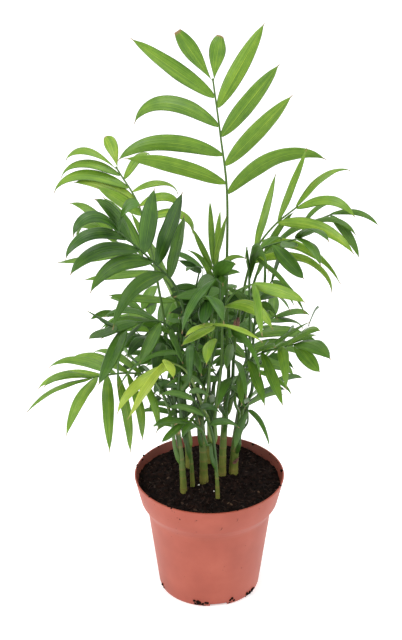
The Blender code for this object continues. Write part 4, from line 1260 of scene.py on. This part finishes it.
def frond_tree():
    """The tree: blades swept, rippled and given thickness, stalks swept, each with its own material."""
    tree, node, given, result = new_tree("grow a frond", Blade_Section="Object", Stalk_Section="Object",
                                         Thickness="Float", Ripple="Float", Leaf="Material",
                                         Stalk="Material")
    stalk = node("FunctionNodeCompare",
                 [node("GeometryNodeInputNamedAttribute", ["stalk"], data_type="FLOAT"), 0.5],
                 data_type="FLOAT", operation="GREATER_THAN")
    blade = node("FunctionNodeBooleanMath", [stalk], operation="NOT")
    blades = add_sweep(node, given["Geometry"], blade, given["Blade Section"])
    topside = node("GeometryNodeInputNamedAttribute", ["topside"], data_type="FLOAT")
    half = node("ShaderNodeMath", [given["Thickness"], 0.5], operation="MULTIPLY")
    body = node("ShaderNodeMath", [topside, half], operation="MULTIPLY")
    # The edges of a blade ripple a little: noise that grows from the midrib to the edge
    across = node("GeometryNodeInputNamedAttribute", ["across"], data_type="FLOAT")
    width = node("GeometryNodeInputNamedAttribute", ["half_width"], data_type="FLOAT")
    reach = node("ShaderNodeMath", [node("ShaderNodeMath", [across, 2.0], operation="POWER"), width],
                 operation="MULTIPLY")
    wave = node("ShaderNodeTexNoise", {"Scale": 1 / (17 * MM), "Detail": 0.0})
    sway = node("ShaderNodeMath", [node("ShaderNodeMath", [wave, 0.5], operation="SUBTRACT"),
                                   given["Ripple"]], operation="MULTIPLY")
    rise = node("ShaderNodeMath", [reach, sway, body], operation="MULTIPLY_ADD")
    upward = node("GeometryNodeInputNamedAttribute", ["blade_normal"], data_type="FLOAT_VECTOR")
    lift = node("ShaderNodeVectorMath", {0: upward, "Scale": rise}, operation="SCALE")
    thick = node("GeometryNodeSetPosition", {"Geometry": blades, "Offset": lift})
    stalks = add_sweep(node, given["Geometry"], stalk, given["Stalk Section"])
    both = node("GeometryNodeJoinGeometry", [stalks])
    feed(both.node, [thick])
    real = node("GeometryNodeRealizeInstances", [both])
    green = node("GeometryNodeSetMaterial", {"Geometry": real, "Selection": blade,
                                             "Material": given["Leaf"]})
    feed(result, [node("GeometryNodeSetMaterial", {"Geometry": green, "Selection": stalk,
                                                   "Material": given["Stalk"]})])
    return tree


FROND_TREE = frond_tree()
print("inputs:", [i.name for i in FROND_TREE.interface.items_tree if i.in_out == "INPUT"])

# %% Lines that carry what the tree and the materials read
def line_object(name, lines):
    """A mesh of separate rows of points. Each line is a dict with its points and a value or a list of
    values for each attribute."""
    mesh = bpy.data.meshes.new(name)
    points, edges, columns = [], [], {}
    for line in lines:
        start = len(points)
        points += line["points"]
        edges += [(i, i + 1) for i in range(start, len(points) - 1)]
        for label, values in line.items():
            if label != "points":
                values = values if isinstance(values, list) else [values] * len(line["points"])
                columns.setdefault(label, []).extend(values)
    mesh.from_pydata(points, edges, [])
    for label, values in columns.items():
        if isinstance(values[0], Vector):
            column = mesh.attributes.new(label, "FLOAT_VECTOR", "POINT")
            column.data.foreach_set("vector", [v for value in values for v in value])
        else:
            column = mesh.attributes.new(label, "FLOAT", "POINT")
            column.data.foreach_set("value", values)
    return link(bpy.data.objects.new(name, mesh))


print("helpers: line_object")

# %% Rows for blades and stalks
BLADE_POINTS = 25
TIP_SHARE = 0.9                  # from here a blade narrows to a thread
TIP_HALF = 0.12 * MM             # half the thread's width
STALK_ROW_POINTS = 60
STALK_CLASP = 11 * MM            # how far below its leaving point a stalk's foot starts, inside its cane
STALK_FLARE = 0.5 * MM           # how much wider a stalk is where it clasps its cane
FLARE_LENGTH = 15 * MM
FOOT_START = 0.3                 # share of its width that a stalk's foot starts with
FOOT_TAPER = 12 * MM             # and how far it would take to widen from nothing


def half_width(blade, share):
    """Half the width of a finished blade, which starts in a narrow neck and ends blunt or in a thread."""
    full = math.sin(math.pi * 0.86 * share ** 1.3) if blade["blunt"] else blade_width(share)
    if share > TIP_SHARE and not blade["blunt"]:
        full *= 1 - 0.85 * (share - TIP_SHARE) / (1 - TIP_SHARE)
    return max(blade["width"] * full / 2, TIP_HALF)


def blade_row(blade, tone, twist):
    """The line of one leaflet, with a slow twist towards its tip."""
    points, normals = blade["line"]
    shares = [i / (BLADE_POINTS - 1) for i in range(BLADE_POINTS)]
    dense = smooth_curve(points, BLADE_POINTS)
    turned = []
    for share in shares:
        place = share * (len(normals) - 1)
        low = min(int(place), len(normals) - 2)
        normal = normals[low].lerp(normals[low + 1], place - low)
        ahead = heading_at(dense, share)
        normal = (normal - ahead * normal.dot(ahead)).normalized()
        turned.append(Matrix.Rotation(twist * share ** 1.5, 3, ahead) @ normal)
    return {"points": dense, "blade_normal": turned, "half_width": [half_width(blade, s) for s in shares],
            "along": shares, "tone": tone, "stalk": 0.0}


def stalk_row(frond, line, tone):
    """The stalk's own line. It starts inside the cane, where its foot is wide and clasps it."""
    axis = cane_line(frond.cane)
    share = min((SOCKET_DEPTH + frond.rise) / path_length(axis), 1)
    foot = point_at(axis, max(share - STALK_CLASP / path_length(axis), 0))
    points = smooth_curve([foot, foot.lerp(line[0], 0.55)] + line[2::2], STALK_ROW_POINTS)
    shares = [i / (STALK_ROW_POINTS - 1) for i in range(STALK_ROW_POINTS)]
    total = path_length(points)
    thick, thin = STALK_HALF[0] * 1.1, STALK_HALF[1] * 0.95
    normals, radii = [], []
    for share in shares:
        ahead = heading_at(points, share)
        normals.append((frond.face - ahead * frond.face.dot(ahead)).normalized())
        radius = thick + (thin - thick) * share ** 0.8
        radius += STALK_FLARE * math.exp(-(share * total / FLARE_LENGTH) ** 2)
        radii.append(radius * min(1, FOOT_START + share * total / FOOT_TAPER))
    return {"points": points, "blade_normal": normals, "half_width": radii, "along": shares, "tone": tone,
            "stalk": 1.0}


print("helpers: blade_row and stalk_row")

# %% Growing the fronds
# Each frond's tone: 0 is old and dark blue-green, 1 is new and yellow-green
TONE = {"tall": 0.55, "front_left": 0.26, "right_light": 0.62, "low_left": 0.55, "low_right": 0.45,
        "young_left": 0.88, "centre_right": 0.62, "centre_low": 0.7, "centre": 0.2, "back_left": 0.6,
        "mid_left": 0.3, "young_middle": 0.55, "right_front": 0.35, "hanging_right": 0.25,
        "low_centre": 0.3, "right_back": 0.4, "behind_left": 0.5, "inner_left": 0.25,
        "inner_middle": 0.25, "inner_right": 0.3, "dark_left": 0.2, "inner_back": 0.15,
        "centre_back": 0.2, "right_inner": 0.3, "back": 0.35, "back_right": 0.4, "back_low": 0.4}


def grow_rows(name, rows, thickness, ripple, leaf, stalk):
    """Blades and stalks grown from their rows, as one piece. The thickness is in mm."""
    return run_tree(line_object(name + "_lines", rows), FROND_TREE, name, Blade_Section=BLADE_SECTION,
                    Stalk_Section=STALK_SECTION, Thickness=thickness * MM, Ripple=ripple, Leaf=leaf,
                    Stalk=stalk)


def grow_frond(name):
    """One finished frond, with each leaflet's tone and twist a little different."""
    chance = random.Random(name)
    age = TONE[name.removeprefix("frond_")]
    rows = [stalk_row(FRONDS[name], stalks[name], age)]
    for blade in blades[name]:
        tone = age + chance.uniform(-0.07, 0.07)
        rows.append(blade_row(blade, tone, math.radians(chance.uniform(-14, 14))))
    piece = grow_rows(name.replace("frond", "leaf"), rows, 0.45, 0.5, LEAF, STALK)
    finish_piece(piece, "leaf_green", name)


for name in FRONDS:
    grow_frond(name)

# %% [markdown]
# ## The canes
# A cane is green, as thick as a pencil at most, and ringed: each ring is the scar of an old leaf. The rings
# stand a little proud, closer together near the foot. Rings could be separate hoops, but a scar is part of
# the cane's own skin, so the tube is the same sweep with a round section and a width that swells there.

# %% Growing the canes
def cane_tree():
    """The tree: one tube swept with the section."""
    tree, node, given, result = new_tree("grow a cane", Section="Object", Material="Material")
    tube = add_sweep(node, given["Geometry"], True, given["Section"])
    real = node("GeometryNodeRealizeInstances", [tube])
    feed(result, [node("GeometryNodeSetMaterial", {"Geometry": real, "Material": given["Material"]})])
    return tree


CANE_TREE = cane_tree()
CANE_POINTS = 130
RING_GAPS = (7, 15)              # mm between rings, shortest at the foot
RING_HALF = 0.9 * MM             # half a ring's height
RING_SWELL = 0.05                # how much wider the cane is at a ring
FOOT_SWELL = 0.12                # and in the soil, dying away above it
SWELL_LENGTH = 9 * MM
DOME = 3 * MM                    # height of the rounded top


def grow_cane(name):
    """One finished cane. Gives back how many rings it has."""
    chance = random.Random(name)
    points = smooth_curve(cane_line(name), CANE_POINTS)
    total = path_length(points)
    rings, at = [], SOCKET_DEPTH + 3 * MM
    while at < total - 4 * MM:
        rings.append(at)
        at += (RING_GAPS[0] + (RING_GAPS[1] - RING_GAPS[0]) * at / total) * chance.uniform(0.8, 1.2) * MM
    shares = [i / (CANE_POINTS - 1) for i in range(CANE_POINTS)]
    nearness, radii = [], []
    for share in shares:
        at = share * total
        near = max([math.exp(-((at - ring) / RING_HALF) ** 2) for ring in rings] + [0.0])
        dome = math.sqrt(max(1 - (1 - min((1 - share) * total / DOME, 1)) ** 2, 0.003))
        foot = 1 + FOOT_SWELL * math.exp(-max(at - SOCKET_DEPTH, 0) / SWELL_LENGTH)
        nearness.append(near)
        radii.append(cane_radius(name, share) * (1 + RING_SWELL * near) * dome * foot)
    side = heading_at(points, 0.5).orthogonal().normalized()
    row = {"points": points, "blade_normal": [side] * CANE_POINTS, "half_width": radii,
           "along": shares, "ring": nearness, "tone": 0.5}
    piece = run_tree(line_object(name + "_line", [row]), CANE_TREE, name.replace("cane", "stem"),
                     Section=CANE_SECTION, Material=CANE)
    finish_piece(piece, "cane_green", name)
    return len(rings)


print("rings:", {name: grow_cane(name) for name in CANES})

# %% [markdown]
# ## Sheaths and young leaves
# A palm drops its lowest leaves, and their bases stay on the stem for a while, dried to brown or straw. Low
# between the stems it also has small leaves that are just opening. They could be shapes of their own, but
# they are blades and stalks like any other, so the frond's tree makes them too: a sheath is one curled
# blade, and a young leaf is a thin stalk with a few narrow leaflets at its top. Which way a young leaf
# leans is left to a seeded random draw.

# %% Young leaves
YOUNG_SHARES = (0.4, 0.7, 1.0)   # how far up each cane they start
YOUNG_POINTS = 24
YOUNG_HALF = (1.25, 0.2)         # mm, half a young stalk's thickness, foot and tip
YOUNG_LEAFLETS = 5
LEAFLET_START, LEAFLET_STEP = 0.5, 0.12    # where they stand along the stalk
YOUNG_DROOP = 50                 # degrees


def side_of(ahead, turn):
    """A direction across ahead, turned round it by this angle."""
    return Matrix.Rotation(turn, 3, ahead) @ ahead.orthogonal().normalized()


def young_rows(axis, share, chance):
    """The rows of one young leaf that grows out of a cane."""
    foot, ahead = point_at(axis, share), heading_at(axis, share)
    outward = side_of(ahead, chance.uniform(0, math.tau))
    length = chance.uniform(60, 95) * MM
    bend = foot + (ahead + outward * 0.1) * length / 2
    tip = foot + (ahead + outward * chance.uniform(0.25, 0.6)) * length
    points = smooth_curve([foot, bend, tip], YOUNG_POINTS)
    widths = [(YOUNG_HALF[0] - (YOUNG_HALF[0] - YOUNG_HALF[1]) * (i / (YOUNG_POINTS - 1)) ** 2) * MM
              for i in range(YOUNG_POINTS)]
    rows = [{"points": points, "blade_normal": [outward] * YOUNG_POINTS, "half_width": widths,
             "along": [0.5] * YOUNG_POINTS, "tone": 0.25, "stalk": 1.0}]
    for k in range(YOUNG_LEAFLETS):
        place = LEAFLET_START + LEAFLET_STEP * k
        start, along = point_at(points, place), heading_at(points, place)
        side = along.cross(outward).normalized() * (-1) ** k
        line = blade_line(start, (along * 0.7 + side + UP * 0.1).normalized(), outward,
                          chance.uniform(22, 36) * MM, YOUNG_DROOP)
        blade = {"line": line, "width": chance.uniform(4.5, 7) * MM, "blunt": False}
        rows.append(blade_row(blade, chance.uniform(0.1, 0.4), 0.0))
    return rows


chance = random.Random(8)
rows = [row for name in CANES for share in YOUNG_SHARES for row in young_rows(cane_line(name), share, chance)]
finish_piece(grow_rows("young_leaves", rows, 0.4, 0.0, LEAF, STALK), "leaf_green")

# %% Withered sheaths
SHEATH_DROOP = 30                # degrees
SHEATH_REACH = 2.2               # mm from the middle of the stem


def grow_sheath(name, line, share, turn, length, width, material):
    """An old leaf base that has dried on its stem: a short curled blade that stands up beside it. The turn
    is in degrees, the length and width in mm."""
    ahead = heading_at(line, share)
    outward = side_of(ahead, math.radians(turn))
    start = point_at(line, share) + outward * SHEATH_REACH * MM
    line = blade_line(start, (ahead + outward * 0.12).normalized(), outward, length * MM, SHEATH_DROOP)
    sheath = {"line": line, "width": width * MM, "blunt": False}
    piece = grow_rows(name, [blade_row(sheath, 0.5, 0.5)], 0.4, 1.5, material, material)
    finish_piece(piece, "cane_green")


grow_sheath("purple_sheath", stalks["frond_right_light"], 0.36, 200, 15, 5, PURPLE)
grow_sheath("papery_sheath", cane_line("cane_left"), 0.86, 250, 17, 5.5, PAPER)
grow_sheath("brown_sheath", cane_line("cane_right_stout"), 0.2, 250, 14, 5, PURPLE)
grow_sheath("torn_sheath", cane_line("cane_middle"), 0.7, 160, 22, 6, PAPER)

# The sections have done their work
for shape in (BLADE_SECTION, STALK_SECTION, CANE_SECTION):
    bpy.data.objects.remove(shape)
